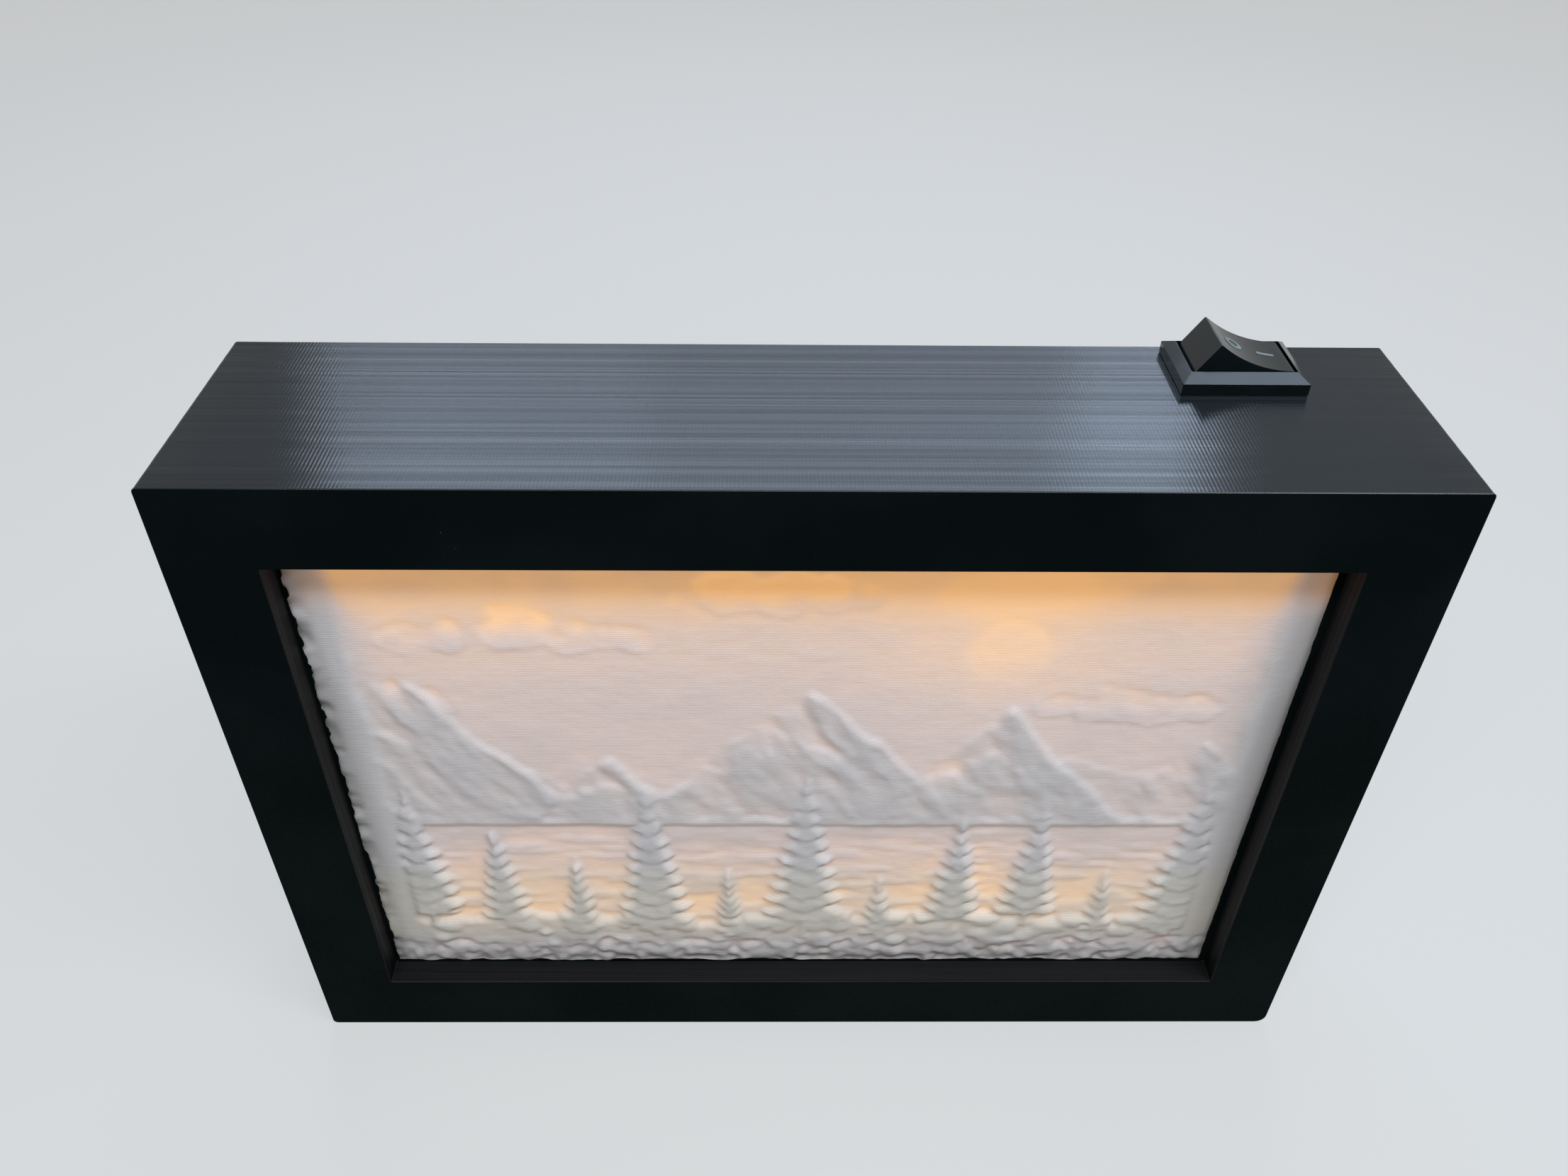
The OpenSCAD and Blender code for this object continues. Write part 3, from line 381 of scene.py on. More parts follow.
BAND_LOOK = moulded_look("cell_band", (0.62, 0.64, 0.66), 0.26, **CELL_FINISH)
MARK_LOOK = moulded_look("mark_white", (0.17, 0.20, 0.20), 0.6, 0.0002, 0.000004, 0.2)


def new_object(name, data):
    """Links data to the scene as an object."""
    item = bpy.data.objects.new(name, data)
    bpy.context.scene.collection.objects.link(item)
    return item


def new_piece(name, mesh, body, slot, replaced=(), looks=()):
    """Links a mesh as a piece on a body that stands for CAD nodes, in its slot's look or given ones."""
    piece = new_object(name, mesh)
    mesh.materials.clear()
    for look in looks or [LOOKS[slot]]:
        mesh.materials.append(look)
    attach(piece, body)
    if replaced:
        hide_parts(*replaced)
    return piece


def to_mesh(name, points, faces, angle=40.0):
    """A mesh from points in millimetres, its faces turned outwards and smooth up to an angle."""
    mesh = bpy.data.meshes.new(name)
    mesh.from_pydata([Vector(p) * MM for p in points], [], faces)
    return tidy_mesh(mesh, angle)


def tidy_mesh(mesh, angle):
    """Turns a mesh's faces outwards and shades them smooth up to an angle."""
    shell = bmesh.new()
    shell.from_mesh(mesh)
    bmesh.ops.recalc_face_normals(shell, faces=shell.faces[:])
    shell.to_mesh(mesh)
    shell.free()
    mesh.shade_smooth()
    mesh.set_sharp_from_angle(angle=math.radians(angle))
    return mesh


# Corners of a CAD mesh nearer than this are joined
WELD = 0.001
# In degrees: flatter faces become one, and sharper edges are rounded
FLAT = 0.5
SHARP = 35.0


def welded_copy(node):
    """A copy of a CAD node's mesh with its split corners joined."""
    shell = bmesh.new()
    shell.from_mesh(frame["nodes"][node].data)
    bmesh.ops.remove_doubles(shell, verts=shell.verts[:], dist=WELD * MM)
    return shell


def rounded_copy(node, name, width):
    """A CAD node's shape with its sharp edges rounded by a small width."""
    shell = welded_copy(node)
    flat = math.radians(FLAT)
    bmesh.ops.dissolve_limit(shell, angle_limit=flat, verts=shell.verts[:], edges=shell.edges[:])
    limit = math.radians(SHARP)
    edges = [e for e in shell.edges if len(e.link_faces) == 2 and e.calc_face_angle(0.0) > limit]
    bmesh.ops.bevel(
        shell, geom=edges, offset=width * MM, offset_type="OFFSET", segments=2, profile=0.5,
        affect="EDGES", clamp_overlap=True,
    )
    bmesh.ops.triangulate(shell, faces=[f for f in shell.faces if len(f.verts) > 4])
    mesh = bpy.data.meshes.new(name)
    shell.to_mesh(mesh)
    shell.free()
    return tidy_mesh(mesh, 30.0)


# Steps along the sides of a wall's outline and round each of its corners
STEPS_X = 30
STEPS_Z = 24
STEPS_CORNER = 5
# Shares of the top side, from the right, of extra columns hidden under the switch's rim
RIM_SHARES = (0.0917, 0.1946)


def ring_outline(w, h, radii):
    """Points and outward directions round a rectangle in the X-Z plane, w and h half its sides.
    radii are those of its right top, left top, left bottom and right bottom corners."""
    places = []
    normals = []

    def side(start, end, normal, count, extra=()):
        for share in sorted([k / count for k in range(count)] + list(extra)):
            places.append(np.add(start, np.subtract(end, start) * share))
            normals.append(normal)

    def turn(x, z, radius, first):
        centre = [x - math.copysign(radius, x), z - math.copysign(radius, z)]
        for k in range(STEPS_CORNER):
            angle = math.radians(first + 90.0 * k / STEPS_CORNER)
            normal = [math.cos(angle), math.sin(angle)]
            places.append(np.add(centre, np.multiply(radius, normal)))
            normals.append(normal)

    right_top, left_top, left_bottom, right_bottom = radii
    side([w, right_bottom - h], [w, h - right_top], [1.0, 0.0], STEPS_Z)
    turn(w, h, right_top, 0.0)
    side([w - right_top, h], [left_top - w, h], [0.0, 1.0], STEPS_X, RIM_SHARES)
    turn(-w, h, left_top, 90.0)
    side([-w, h - left_top], [-w, left_bottom - h], [-1.0, 0.0], STEPS_Z)
    turn(-w, -h, left_bottom, 180.0)
    side([left_bottom - w, -h], [w - right_bottom, -h], [0.0, -1.0], STEPS_X)
    turn(w, -h, right_bottom, 270.0)
    return np.array(places), np.array(normals)


# Printed layers: height, groove, chamfer of the front edge, and least distance from the solid's faces
LAYER = 0.3
GROOVE = 0.03
FRONT_EDGE = 0.1
SKIN = 0.002
# Mean depth of the layers' beads, on the outer walls and in the window
OUTER_INSET = 0.07
WINDOW_INSET = 0.05
# Straying from layer to layer and of each layer, and the layers that even it out
STRAY = 0.005
JITTER = 0.0015
EVEN_LAYERS = 21
# Waves along every layer, and larger ones on the left wall
WAVE = 0.008
LEFT_WAVE = 0.035


def layer_rings(outline, first_y, last_y, inset, seed, sign):
    """Rings of a printed wall along Y: each layer has a groove and a bead, and wanders a little.
    sign is 1 for an outer wall, with rings inside the outline, and -1 for a hole, with rings outside."""
    places, normals = outline
    draws = np.random.default_rng(seed)
    wander = Clouds(seed + 1)
    count = round((last_y - first_y) / LAYER)
    steps = np.cumsum(draws.normal(0.0, STRAY, count))
    padded = np.pad(steps, EVEN_LAYERS // 2, mode="edge")
    steps = steps - np.convolve(padded, np.ones(EVEN_LAYERS) / EVEN_LAYERS, mode="valid")
    steps = steps + draws.normal(0.0, JITTER, count)
    left = smooth(-95.0, -99.0, places[:, 0]) if sign > 0 else 0.0
    turn = np.arange(float(len(places)))
    rings = []
    for k in range(count):
        y = first_y + k * LAYER
        wave = WAVE * wander(turn, np.full_like(turn, y), 8.0, 2)
        wave = wave + LEFT_WAVE * left * wander(places[:, 1], np.full_like(turn, 0.1 * y), 5.0, 2)
        depth = np.maximum(inset + steps[k] + wave, SKIN)
        if k == 0 and sign > 0:
            depth = np.full_like(turn, 2.0 * SKIN)
        groove = FRONT_EDGE if k == 0 else GROOVE
        for y_ring, extra in ((y, groove), (y + LAYER / 2, 0.0)):
            flat = places - sign * normals * (depth + extra)[:, None]
            rings.append(np.column_stack([flat[:, 0], np.full_like(turn, y_ring), flat[:, 1] + MID_Z]))
    end = rings[-1].copy()
    end[:, 1] = last_y
    rings.append(end)
    return rings


def circle(sides):
    """Cosine and sine of even steps round a circle."""
    angles = [2.0 * math.pi * k / sides for k in range(sides)]
    return [(math.cos(angle), math.sin(angle)) for angle in angles]


def ring_faces(first, second, count):
    """Quads between two rings of points, each given by the index of its first point."""
    pairs = [(k, (k + 1) % count) for k in range(count)]
    return [(first + k, first + j, second + j, second + k) for k, j in pairs]


def loft_faces(rings, start):
    """Quads between each ring and the next, the first ring's points from a given index."""
    count = len(rings[0])
    faces = []
    for r in range(len(rings) - 1):
        faces += ring_faces(start + r * count, start + (r + 1) * count, count)
    return faces


def printed_block():
    """A block of printed layers with a blind window, slightly inside the frame's outer faces."""
    front = -HALF_D + SKIN
    outline = ring_outline(HALF_W, MID_Z, CORNER_RADII)
    outer = layer_rings(outline, front, HALF_D - SKIN, OUTER_INSET, 11, 1)
    outline = ring_outline(WINDOW_HALF_W, WINDOW_HALF_H, WINDOW_RADII)
    inner = layer_rings(outline, front, LIP_BACK + 0.5, WINDOW_INSET, 23, -1)
    count = len(outer[0])
    hole = len(outer) * count
    faces = loft_faces(outer, 0) + loft_faces(inner, hole)
    faces += ring_faces(0, hole, count)
    faces.append(tuple(range(hole - count, hole)))
    total = hole + len(inner) * count
    faces.append(tuple(range(total - count, total)))
    return to_mesh("block", np.vstack(outer + inner), faces)


def printed_frame():
    """The frame's solid with printed layers on its outer walls and in its window."""
    mesh = bpy.data.meshes.new("solid")
    shell = welded_copy("frame")
    shell.to_mesh(mesh)
    shell.free()
    solid = new_object("frame_solid", mesh)
    block = new_object("frame_block", printed_block())
    cut = solid.modifiers.new("layers", "BOOLEAN")
    cut.operation = "INTERSECT"
    cut.solver = "MANIFOLD"
    cut.object = block
    bpy.context.view_layer.update()
    made = solid.evaluated_get(bpy.context.evaluated_depsgraph_get())
    mesh = bpy.data.meshes.new_from_object(made)
    for item in (solid, block):
        bpy.data.objects.remove(item)
    mesh.name = "printed_frame"
    tidy_mesh(mesh, 30.0)
    # The window's walls take a darker copy of the black print: painted shade of the recess
    looks = [LOOKS["frame_black"], FRONT_LOOK, WINDOW_LOOK]
    new_piece("printed_frame", mesh, "box", "frame_black", ["frame"], looks)
    front = (-HALF_D + 0.2) * MM
    lip = (LIP_BACK + 0.1) * MM
    reach_x = (WINDOW_HALF_W + 1.0) * MM
    reach_z = (WINDOW_HALF_H + 1.0) * MM
    for face in mesh.polygons:
        x, y, z = face.center
        if face.normal.y < -0.95 and y < front:
            face.material_index = 1
        elif y < lip and abs(x) < reach_x and abs(z - MID_Z * MM) < reach_z:
            face.material_index = 2


# Picture on the panel: a lake below mountains, a bank with pines in front. In its functions x runs to
# the right from the middle, v up from the window's foot, and t is the thickness.
HORIZON = 42.0
# The sun's place and radius
SUN = (34.0, 86.0, 7.0)
SKY_T = 1.3
LAKE_T = 1.1
RIM_T = 2.98
# Banks of clouds: middle, height and length
CLOUD_BANKS = ((-52.0, 88.0, 46.0), (-8.0, 97.0, 34.0), (56.0, 72.0, 36.0), (-70.0, 72.0, 24.0))
PUFFS = 13
# Peaks from the outer ones to the middle one, their pitch and height, and the outline they share
PEAKS = (-2, 2, -1, 1, 0)
PEAK_PITCH = 36.0
PEAK_H = 40.0
PEAK_SHAPE = ((-0.95, 0.0), (-0.1, 0.94), (0.0, 1.0), (0.45, 0.5), (0.85, 0.0))
BOULDERS = 90
PINE_PITCH = 15.0
PINE_H = 46.0
EDGE_LUMPS = 520
# Painted glow (emission for the light from behind): glow of a place GLOW_T thick below the bright top, and
# the extra thickness that cuts it to a third
GLOW_SHARE = 0.70
GLOW_T = 0.8
GLOW_FALL = 0.62


def paint(t, mask, value):
    """Lays a value over a thickness where the mask is 1."""
    return t * (1.0 - mask) + value * mask


def sky(x, v):
    """Sky with a sun and banks of clouds, thinner where it is brighter."""
    soft = Clouds(101)
    draws = np.random.default_rng(102)
    t = SKY_T + 0.1 * smooth(60.0, 108.0, v) + 0.05 * soft(x, 3.0 * v, 30.0, 4)
    distance = np.hypot(x - SUN[0], v - SUN[1])
    t = t - 0.22 * np.exp(-(distance / 20.0) ** 2)
    for cx, cv, length in CLOUD_BANKS:
        puffs = np.full(x.shape, -1.0)
        for _ in range(PUFFS):
            along = draws.uniform(-0.5, 0.5)
            radius = draws.uniform(3.0, 6.0) * (1.15 - abs(along))
            up = draws.uniform(0.0, 3.5) * (1.0 - 1.6 * abs(along))
            near = 1.0 - ((x - cx - along * length) ** 2 + (1.25 * (v - cv - up)) ** 2) / radius ** 2
            puffs = np.maximum(puffs, near)
        puffs = puffs + 0.3 * soft(x + 9.0, v, 3.0, 3)
        under = 0.34 * smooth(4.0, -1.5, v - cv) + 0.12 * soft(x, v + 5.0, 2.6, 2)
        t = paint(t, smooth(0.0, 0.12, puffs), SKY_T - 0.24 + under + 0.2 * smooth(0.6, 0.05, puffs))
    return paint(t, smooth(0.7, -0.5, distance - SUN[2]), 1.02)


def mountains(t, x, v):
    """Five peaks, lit from the left, with snow fields and ribs."""
    rough = Clouds(111)
    shape_x, shape_y = np.array(PEAK_SHAPE).T
    up = v - HORIZON
    far = 15.0 + 6.0 * rough(x, 0.0 * x, 26.0, 4)
    t = paint(t, smooth(-0.5, 0.5, far - up) * (up > -1.0), 1.55 + 0.06 * rough(x, v, 8.0, 3))
    for i in PEAKS:
        height = PEAK_H * (0.72 + 0.28 * math.sin(math.radians(137.0 * i + 40.0)))
        across = x - PEAK_PITCH * i
        top = height * np.interp(across / height, shape_x, shape_y, left=-1.0, right=-1.0)
        top = top + 1.6 * rough(x + 40.0 * i, 0.0 * x, 7.0, 4) * (top > 0.0)
        body = smooth(-0.35, 0.55, top - up) * (up > -1.0)
        crest = across - 3.0 * rough(v + 13.0 * i, 0.0 * v, 9.0, 3) - 0.14 * (height - up)
        shade = smooth(-1.2, 1.2, crest)
        ribs = 1.0 - 2.0 * np.abs(rough(across + 0.5 * up, 0.45 * up - 7.0 * i, 6.0, 4))
        stone = 1.80 + 0.26 * shade + 0.26 * ribs
        patch = 5.0 * rough(across + 0.4 * up, 0.3 * up + 5.0 * i, 5.0, 3)
        snow = smooth(-1.0, 1.5, up - 0.56 * height - patch)
        stone = stone - 0.42 * snow * (1.0 - 0.55 * shade)
        t = paint(t, body, stone)
    return t


def lake(t, x, v):
    """Still water with long ripples, a dark far shore and the sun's glitter."""
    flow = Clouds(121)
    near = np.clip((HORIZON - v) / HORIZON, 0.0, 1.0)
    pitch = 1.2 + 2.4 * near
    ripples = smooth(0.02, 0.42, flow(x / (0.6 + near), 6.5 * v / pitch, 9.0, 2))
    water = LAKE_T + (0.16 + 0.26 * near) * ripples
    mirror = smooth(0.0, 6.0, 0.5 * (16.0 + 9.0 * flow(x, 0.0 * x, 24.0, 2)) - (HORIZON - v))
    water = water + 0.34 * mirror * (1.0 - 0.6 * ripples)
    glitter = np.exp(-((x - SUN[0]) / (5.0 + 9.0 * near)) ** 2) * smooth(0.0, 0.3, flow(x, 4.0 * v, 4.0, 2))
    water = water - 0.26 * glitter
    t = paint(t, smooth(0.4, -0.4, v - HORIZON), water)
    shore = 1.6 + 1.1 * flow(x, 0.0 * x + 5.0, 3.0, 3)
    return paint(t, smooth(-0.6, 0.0, v - HORIZON) * smooth(0.5, -0.3, v - HORIZON - shore), 2.05)


def bank(t, x, v):
    """Near bank with boulders and tufts."""
    rough = Clouds(131)
    draws = np.random.default_rng(132)
    top = 12.0 + 2.2 * rough(x, 0.0 * x, 21.0, 3) + 0.9 * np.abs(rough(x, 0.0 * x + 3.0, 1.3, 2))
    ground = 2.1 + 0.14 * rough(x, 1.6 * v, 4.0, 4)
    for _ in range(BOULDERS):
        cx = draws.uniform(-80.0, 80.0)
        cv = draws.uniform(3.0, 13.5)
        radius = draws.uniform(1.3, 3.6)
        bulge = 1.0 - ((x - cx) / radius) ** 2 - ((v - cv) / (0.68 * radius)) ** 2 + 0.2 * rough(x, v, 1.6)
        ground = np.maximum(ground, 2.0 + 0.62 * np.sqrt(np.clip(bulge, 0.0, 1.0)))
        ground = np.where((bulge < 0.0) & (bulge > -0.28), ground - 0.12, ground)
        top = np.maximum(top, np.where(np.abs(x - cx) < radius, cv + 0.5 * radius, 0.0))
    return paint(t, smooth(0.5, -0.4, v - top), np.clip(ground, 1.7, 2.75))


def pines(t, x, v):
    """A row of pines with drooping branches."""
    needle = Clouds(141)
    for i in range(-5, 6):
        height = PINE_H * (0.66 + 0.34 * math.sin(math.radians(151.0 * i + 70.0)))
        base = 13.0 - 3.0 * (1.0 + math.sin(math.radians(97.0 * i)))
        across = x - PINE_PITCH * i
        up = (v - base) / height
        tiers = 4.0 + 0.14 * height
        droop = (1.0 - up) * tiers + 0.9 * np.abs(across) / (0.2 * height)
        tooth = droop - np.floor(droop)
        reach = 0.2 * height * np.clip(1.02 - up, 0.0, 1.0) ** 0.9 * (0.52 + 0.5 * tooth)
        reach = reach + 0.45 * needle(x + 31.0 * i, v, 1.5, 2) * (up < 1.0)
        inside = smooth(-0.1, 0.5, reach - np.abs(across)) * (up > 0.06) * (up < 1.02)
        trunk = smooth(0.25, -0.15, np.abs(across) - 0.018 * height) * (up > -0.04) * (up < 0.3)
        leaf = 2.38 + 0.3 * tooth + 0.14 * needle(x, v, 0.9, 2)
        t = paint(t, trunk, 2.5)
        t = paint(t, inside, np.clip(leaf, 2.1, 2.85))
    return t


def borders(t, x, v):
    """Smooth strips at both sides, lumps at the left and the foot, and the thick rim under the lip."""
    rough = Clouds(151)
    draws = np.random.default_rng(152)
    edge = 78.0 + 0.5 * rough(v, 0.0 * v, 7.0, 2)
    t = paint(t, smooth(-0.8, 0.8, np.abs(x) - edge), 2.0 + 0.03 * rough(x, v, 9.0, 2))
    fluff = np.full(x.shape, 1.2)
    for _ in range(EDGE_LUMPS):
        cx = draws.uniform(-85.5, 85.5)
        cv = draws.uniform(-0.6, 7.5) * draws.uniform(0.4, 1.0)
        radius = draws.uniform(0.8, 2.0)
        bulge = 1.0 - ((x - cx) ** 2 + (1.1 * (v - cv)) ** 2) / radius ** 2 + 0.18 * rough(x, v, 0.9)
        rise = draws.uniform(0.7, 1.4) - 0.06 * cv
        fluff = np.maximum(fluff, 1.35 + rise * np.sqrt(np.clip(bulge, 0.0, 1.0)) * (bulge > 0.0))
    low = 5.2 + 1.6 * rough(x, 0.0 * x, 5.0, 3)
    t = paint(t, smooth(0.7, -0.7, v - low), np.minimum(fluff, 2.8))
    t = t - 0.6 * smooth(79.0, 84.5, x)
    lumps = 2.1 + 0.75 * rough(v, 0.4 * x, 2.6, 2)
    t = paint(t, smooth(-82.4, -84.4, x), np.clip(lumps, 1.3, 2.9))
    scallops = 2.05 + 0.85 * rough(x, 0.5 * v + 9.0, 2.4, 2)
    t = paint(t, smooth(1.5, 0.3, v), np.clip(scallops, 1.2, 2.9))
    outside = np.maximum(np.abs(x) - WINDOW_HALF_W, np.maximum(-v, v - 2.0 * WINDOW_HALF_H))
    return paint(t, smooth(0.7, 1.7, outside), RIM_T)


def texture(t, x, v):
    """Fine unevenness all over the picture."""
    fine = Clouds(171)
    wide = Clouds(172)
    share = 0.45 + 0.55 * smooth(70.0, 50.0, v)
    return t + share * (0.09 * wide(x, 1.7 * v, 6.0, 3) + 0.06 * fine(x, 1.9 * v, 2.4, 2))


def blurred(t, passes):
    """A thickness evened out with its neighbours, a given number of times."""
    for _ in range(passes):
        padded = np.pad(t, 1, mode="edge")
        t = (padded[:-2, 1:-1] + 2.0 * t + padded[2:, 1:-1]) / 4.0
        padded = np.pad(t, 1, mode="edge")
        t = (padded[1:-1, :-2] + 2.0 * t + padded[1:-1, 2:]) / 4.0
    return t


# Grid of the panel's front, and how far it stays inside the solid's sides
PANEL_COLUMNS = 357
PANEL_ROWS = 233
PANEL_INSIDE = 0.02


def relief_panel():
    """The panel as a closed shell: a fine height field in front, straight sides and a flat back."""
    half_w = PANEL_HALF_W - PANEL_INSIDE
    half_h = PANEL_HALF_H - PANEL_INSIDE
    columns = np.linspace(-half_w, half_w, PANEL_COLUMNS)
    rows = np.linspace(-half_h, half_h, PANEL_ROWS)
    x, z = np.meshgrid(columns, rows)
    v = z + WINDOW_HALF_H
    t = sky(x, v)
    for step in (mountains, lake, bank, pines, texture, borders):
        t = step(t, x, v)
    thick = blurred(t, 1)
    grain = Clouds(161)
    thick = np.clip(thick + 0.02 * grain(x, 4.0 * v, 1.6, 2), 0.7, RIM_T)
    spread = blurred(t, 5)
    # Painted light and shade on the glow: it fades towards the sides (less so near the top) and at the very
    # foot, and grows over the bank and towards the top under the lip
    high = smooth(92.0, 100.0, v)
    side = smooth(85.5, 70.0, np.abs(x)) * (1.0 - high) + smooth(88.0, 78.0, np.abs(x)) * high
    foot = smooth(-1.0, 11.0, v) * (1.0 + 0.6 * smooth(30.0, 12.0, v))
    top = 1.0 + 0.7 * smooth(70.0, 92.0, v) + 1.2 * smooth(89.0, 98.0, v)
    lit = GLOW_SHARE * np.exp(-(spread - GLOW_T) / GLOW_FALL) * top
    glow = np.clip(lit * (0.06 + 0.94 * side) * (0.15 + 0.85 * foot), 0.0, 1.0)
    front = np.column_stack([x.ravel(), PANEL_BACK - thick.ravel(), z.ravel() + MID_Z])
    first = PANEL_ROWS * PANEL_COLUMNS
    index = np.arange(first).reshape(PANEL_ROWS, PANEL_COLUMNS)
    corners = [index[:-1, :-1], index[:-1, 1:], index[1:, 1:], index[1:, :-1]]
    quads = np.stack(corners, axis=-1).reshape(-1, 4)
    loop = np.concatenate([index[0, :-1], index[:-1, -1], index[-1, :0:-1], index[:0:-1, 0]])
    back = front[loop].copy()
    back[:, 1] = PANEL_BACK - SKIN
    count = len(loop)
    faces = [tuple(q) for q in quads.tolist()]
    for k in range(count):
        j = (k + 1) % count
        faces.append((int(loop[k]), first + k, first + j, int(loop[j])))
    faces.append(tuple(range(first, first + count)))
    mesh = to_mesh("relief_panel", np.vstack([front, back]), faces, 75.0)
    values = np.concatenate([glow.ravel(), np.zeros(count)]).astype(np.float32)
    mesh.attributes.new("glow", "FLOAT", "POINT").data.foreach_set("value", values)
    new_piece("relief_panel", mesh, "box", "relief_white", ["lithophane_panel"])


# Black strips round the panel, a painted shadow at its edges: their thickness and how far they reach under
# the lip
SHADOW_STRIP_T = 0.18
SHADOW_STRIP_UNDER = 0.6
# Strips at the left and right: side, how far each shows in the window and how ragged it is
SHADOW_STRIP_SIDES = ((-1, 0.6, 0.3), (1, 1.3, 0.06))


def shadow_strip(along, reach, sink, place):
    """A thin black strip behind the lip, standing for shadow: along gives its stations, reach how far each
    shows in the window.
    """
    rows = []
    count = len(along)
    hidden = np.full(count, -SHADOW_STRIP_UNDER)
    for across, back in ((reach, 0.0), (reach, SHADOW_STRIP_T), (hidden, SHADOW_STRIP_T + 0.04), (hidden, 0.0)):
        x, z = place(along, across)
        rows.append(np.column_stack([x, np.full(count, LIP_BACK + sink + back), z]))
    faces = []
    for r in range(4):
        a = r * count
        b = (r + 1) % 4 * count
        faces += [(a + k, a + k + 1, b + k + 1, b + k) for k in range(count - 1)]
    faces += [tuple(r * count + end for r in range(4)) for end in (0, count - 1)]
    return np.vstack(rows), faces


def panel_shadow_strips():
    """Thin black strips behind the lip at the panel's sides and foot, a painted shadow there, ragged at the
    left and wavy below.
    """
    draws = np.random.default_rng(181)
    parts = []
    for side, show, rag in SHADOW_STRIP_SIDES:
        z = np.arange(15.1, 122.95, 0.7)
        reach = show + rag * np.repeat(draws.uniform(-1.0, 1.0, len(z) // 3 + 1), 3)[:len(z)]
        reach = reach + 0.4 * rag * draws.uniform(-1.0, 1.0, len(z))
        parts.append(shadow_strip(z, reach, 0.02, lambda s, r: (side * (WINDOW_HALF_W - r), s)))
    x = np.arange(-84.9, 84.95, 0.5)
    waves = Clouds(182)(x, 0.0 * x, 2.6, 2)
    reach = np.maximum(0.4 + 0.36 * waves + 0.2 * smooth(20.0, 84.0, x), 0.04)
    parts.append(shadow_strip(x, reach, 0.05, lambda s, r: (s, MID_Z - WINDOW_HALF_H + r)))
    mesh = to_mesh("panel_shadow_strips", *joined(parts))
    new_piece("panel_shadow_strips", mesh, "box", "frame_black", looks=[FRONT_LOOK])


def rocker_point(x, y, z):
    """A point of the rocker's own frame, at rest."""
    c = math.cos(math.radians(ROCKER_TILT))
    s = math.sin(math.radians(ROCKER_TILT))
    return (PIVOT[0] + x * c + z * s, PIVOT[1] + y, PIVOT[2] - x * s + z * c)


def hollow_z(x):
    """Height of the rocker's hollow above the pivot, in the rocker's own frame."""
    radius = HOLLOW_HALF / math.sin(math.radians(HOLLOW_SLOPE))
    centre = RIDGE_Z + radius * math.cos(math.radians(HOLLOW_SLOPE))
    return centre - math.sqrt(radius * radius - x * x)


# Marks on the rocker: how far they rise above the hollow and sink into it, the ring and the bar
MARK_RISE = 0.07
MARK_SINK = 0.05
RING_X = -2.7
RING_RADII = (1.62, 0.85)
BAR_FROM = 1.9
BAR_LENGTH = 3.0
BAR_HALF = 0.34


def mark(name, flat, faces):
    """A printed mark on the rocker's hollow: a thin closed sheet over faces given by flat points."""
    count = len(flat)
    top = [rocker_point(x, y, hollow_z(x) + MARK_RISE) for x, y in flat]
    under = [rocker_point(x, y, hollow_z(x) - MARK_SINK) for x, y in flat]
    edges = dict.fromkeys((a, face[(k + 1) % len(face)]) for face in faces for k, a in enumerate(face))
    rim = [(a, b) for a, b in edges if (b, a) not in edges]
    shell = list(faces)
    shell += [tuple(count + k for k in reversed(face)) for face in faces]
    shell += [(b, a, count + a, count + b) for a, b in rim]
    mesh = to_mesh(name, top + under, shell)
    new_piece(name, mesh, "rocker", "liner_white", looks=[MARK_LOOK])


def switch_marks():
    """A ring at the raised end and a bar at the lowered end."""
    sides = 40
    flat = []
    for radius in RING_RADII:
        flat += [(RING_X + radius * c, radius * s) for c, s in circle(sides)]
    mark("mark_off", flat, ring_faces(0, sides, sides))
    steps = 10
    along = [BAR_FROM + BAR_LENGTH * k / steps for k in range(steps + 1)]
    bar = [(x, side * BAR_HALF) for side in (-1, 1) for x in along]
    row = steps + 1
    mark("mark_on", bar, [(k, k + 1, row + k + 1, row + k) for k in range(steps)])


def curve_points(path, steps):
    """Points of a smooth curve through given ones, with steps between each two."""
    points = [np.array(p, float) for p in path]
    made = []
    for i in range(len(points) - 1):
        a = points[max(i - 1, 0)]
        b = points[i]
        c = points[i + 1]
        d = points[min(i + 2, len(points) - 1)]
        for s in range(steps):
            t = s / steps
            made.append(0.5 * (2.0 * b + (c - a) * t + (2.0 * a - 5.0 * b + 4.0 * c - d) * t * t
                               + (3.0 * b - a - 3.0 * c + d) * t ** 3))
    made.append(points[-1])
    return made


# A direction that no tube's path begins along
TUBE_UP = (0.31, 0.2, 0.93)


def tube(path, radius, sides):
    """Points and faces of a closed tube along a path, its rings carried on without twist."""
    path = [np.array(p, float) for p in path]
    points = []
    up = np.array(TUBE_UP)
    last = len(path) - 1
    for i, place in enumerate(path):
        along = path[min(i + 1, last)] - path[max(i - 1, 0)]
        along = along / np.linalg.norm(along)
        up = up - along * np.dot(up, along)
        up = up / np.linalg.norm(up)
        across = np.cross(along, up)
        points += [place + radius * (c * across + s * up) for c, s in circle(sides)]
    faces = []
    for i in range(last):
        faces += ring_faces(i * sides, (i + 1) * sides, sides)
    faces.append(tuple(reversed(range(sides))))
    faces.append(tuple(range(last * sides, (last + 1) * sides)))
    return points, faces


def joined(parts):
    """Points and faces of several shells as one list."""
    points = []
    faces = []
    for part_points, part_faces in parts:
        start = len(points)
        points += [tuple(p) for p in part_points]
        faces += [tuple(start + k for k in face) for face in part_faces]
    return points, faces


# Springs: radii of their wires, steps in a turn, and where the rocker's spring begins
TRAY_WIRE = 0.35
KEY_WIRE = 0.2
COIL_STEPS = 24
KEY_SPRING_FOOT = -2.4


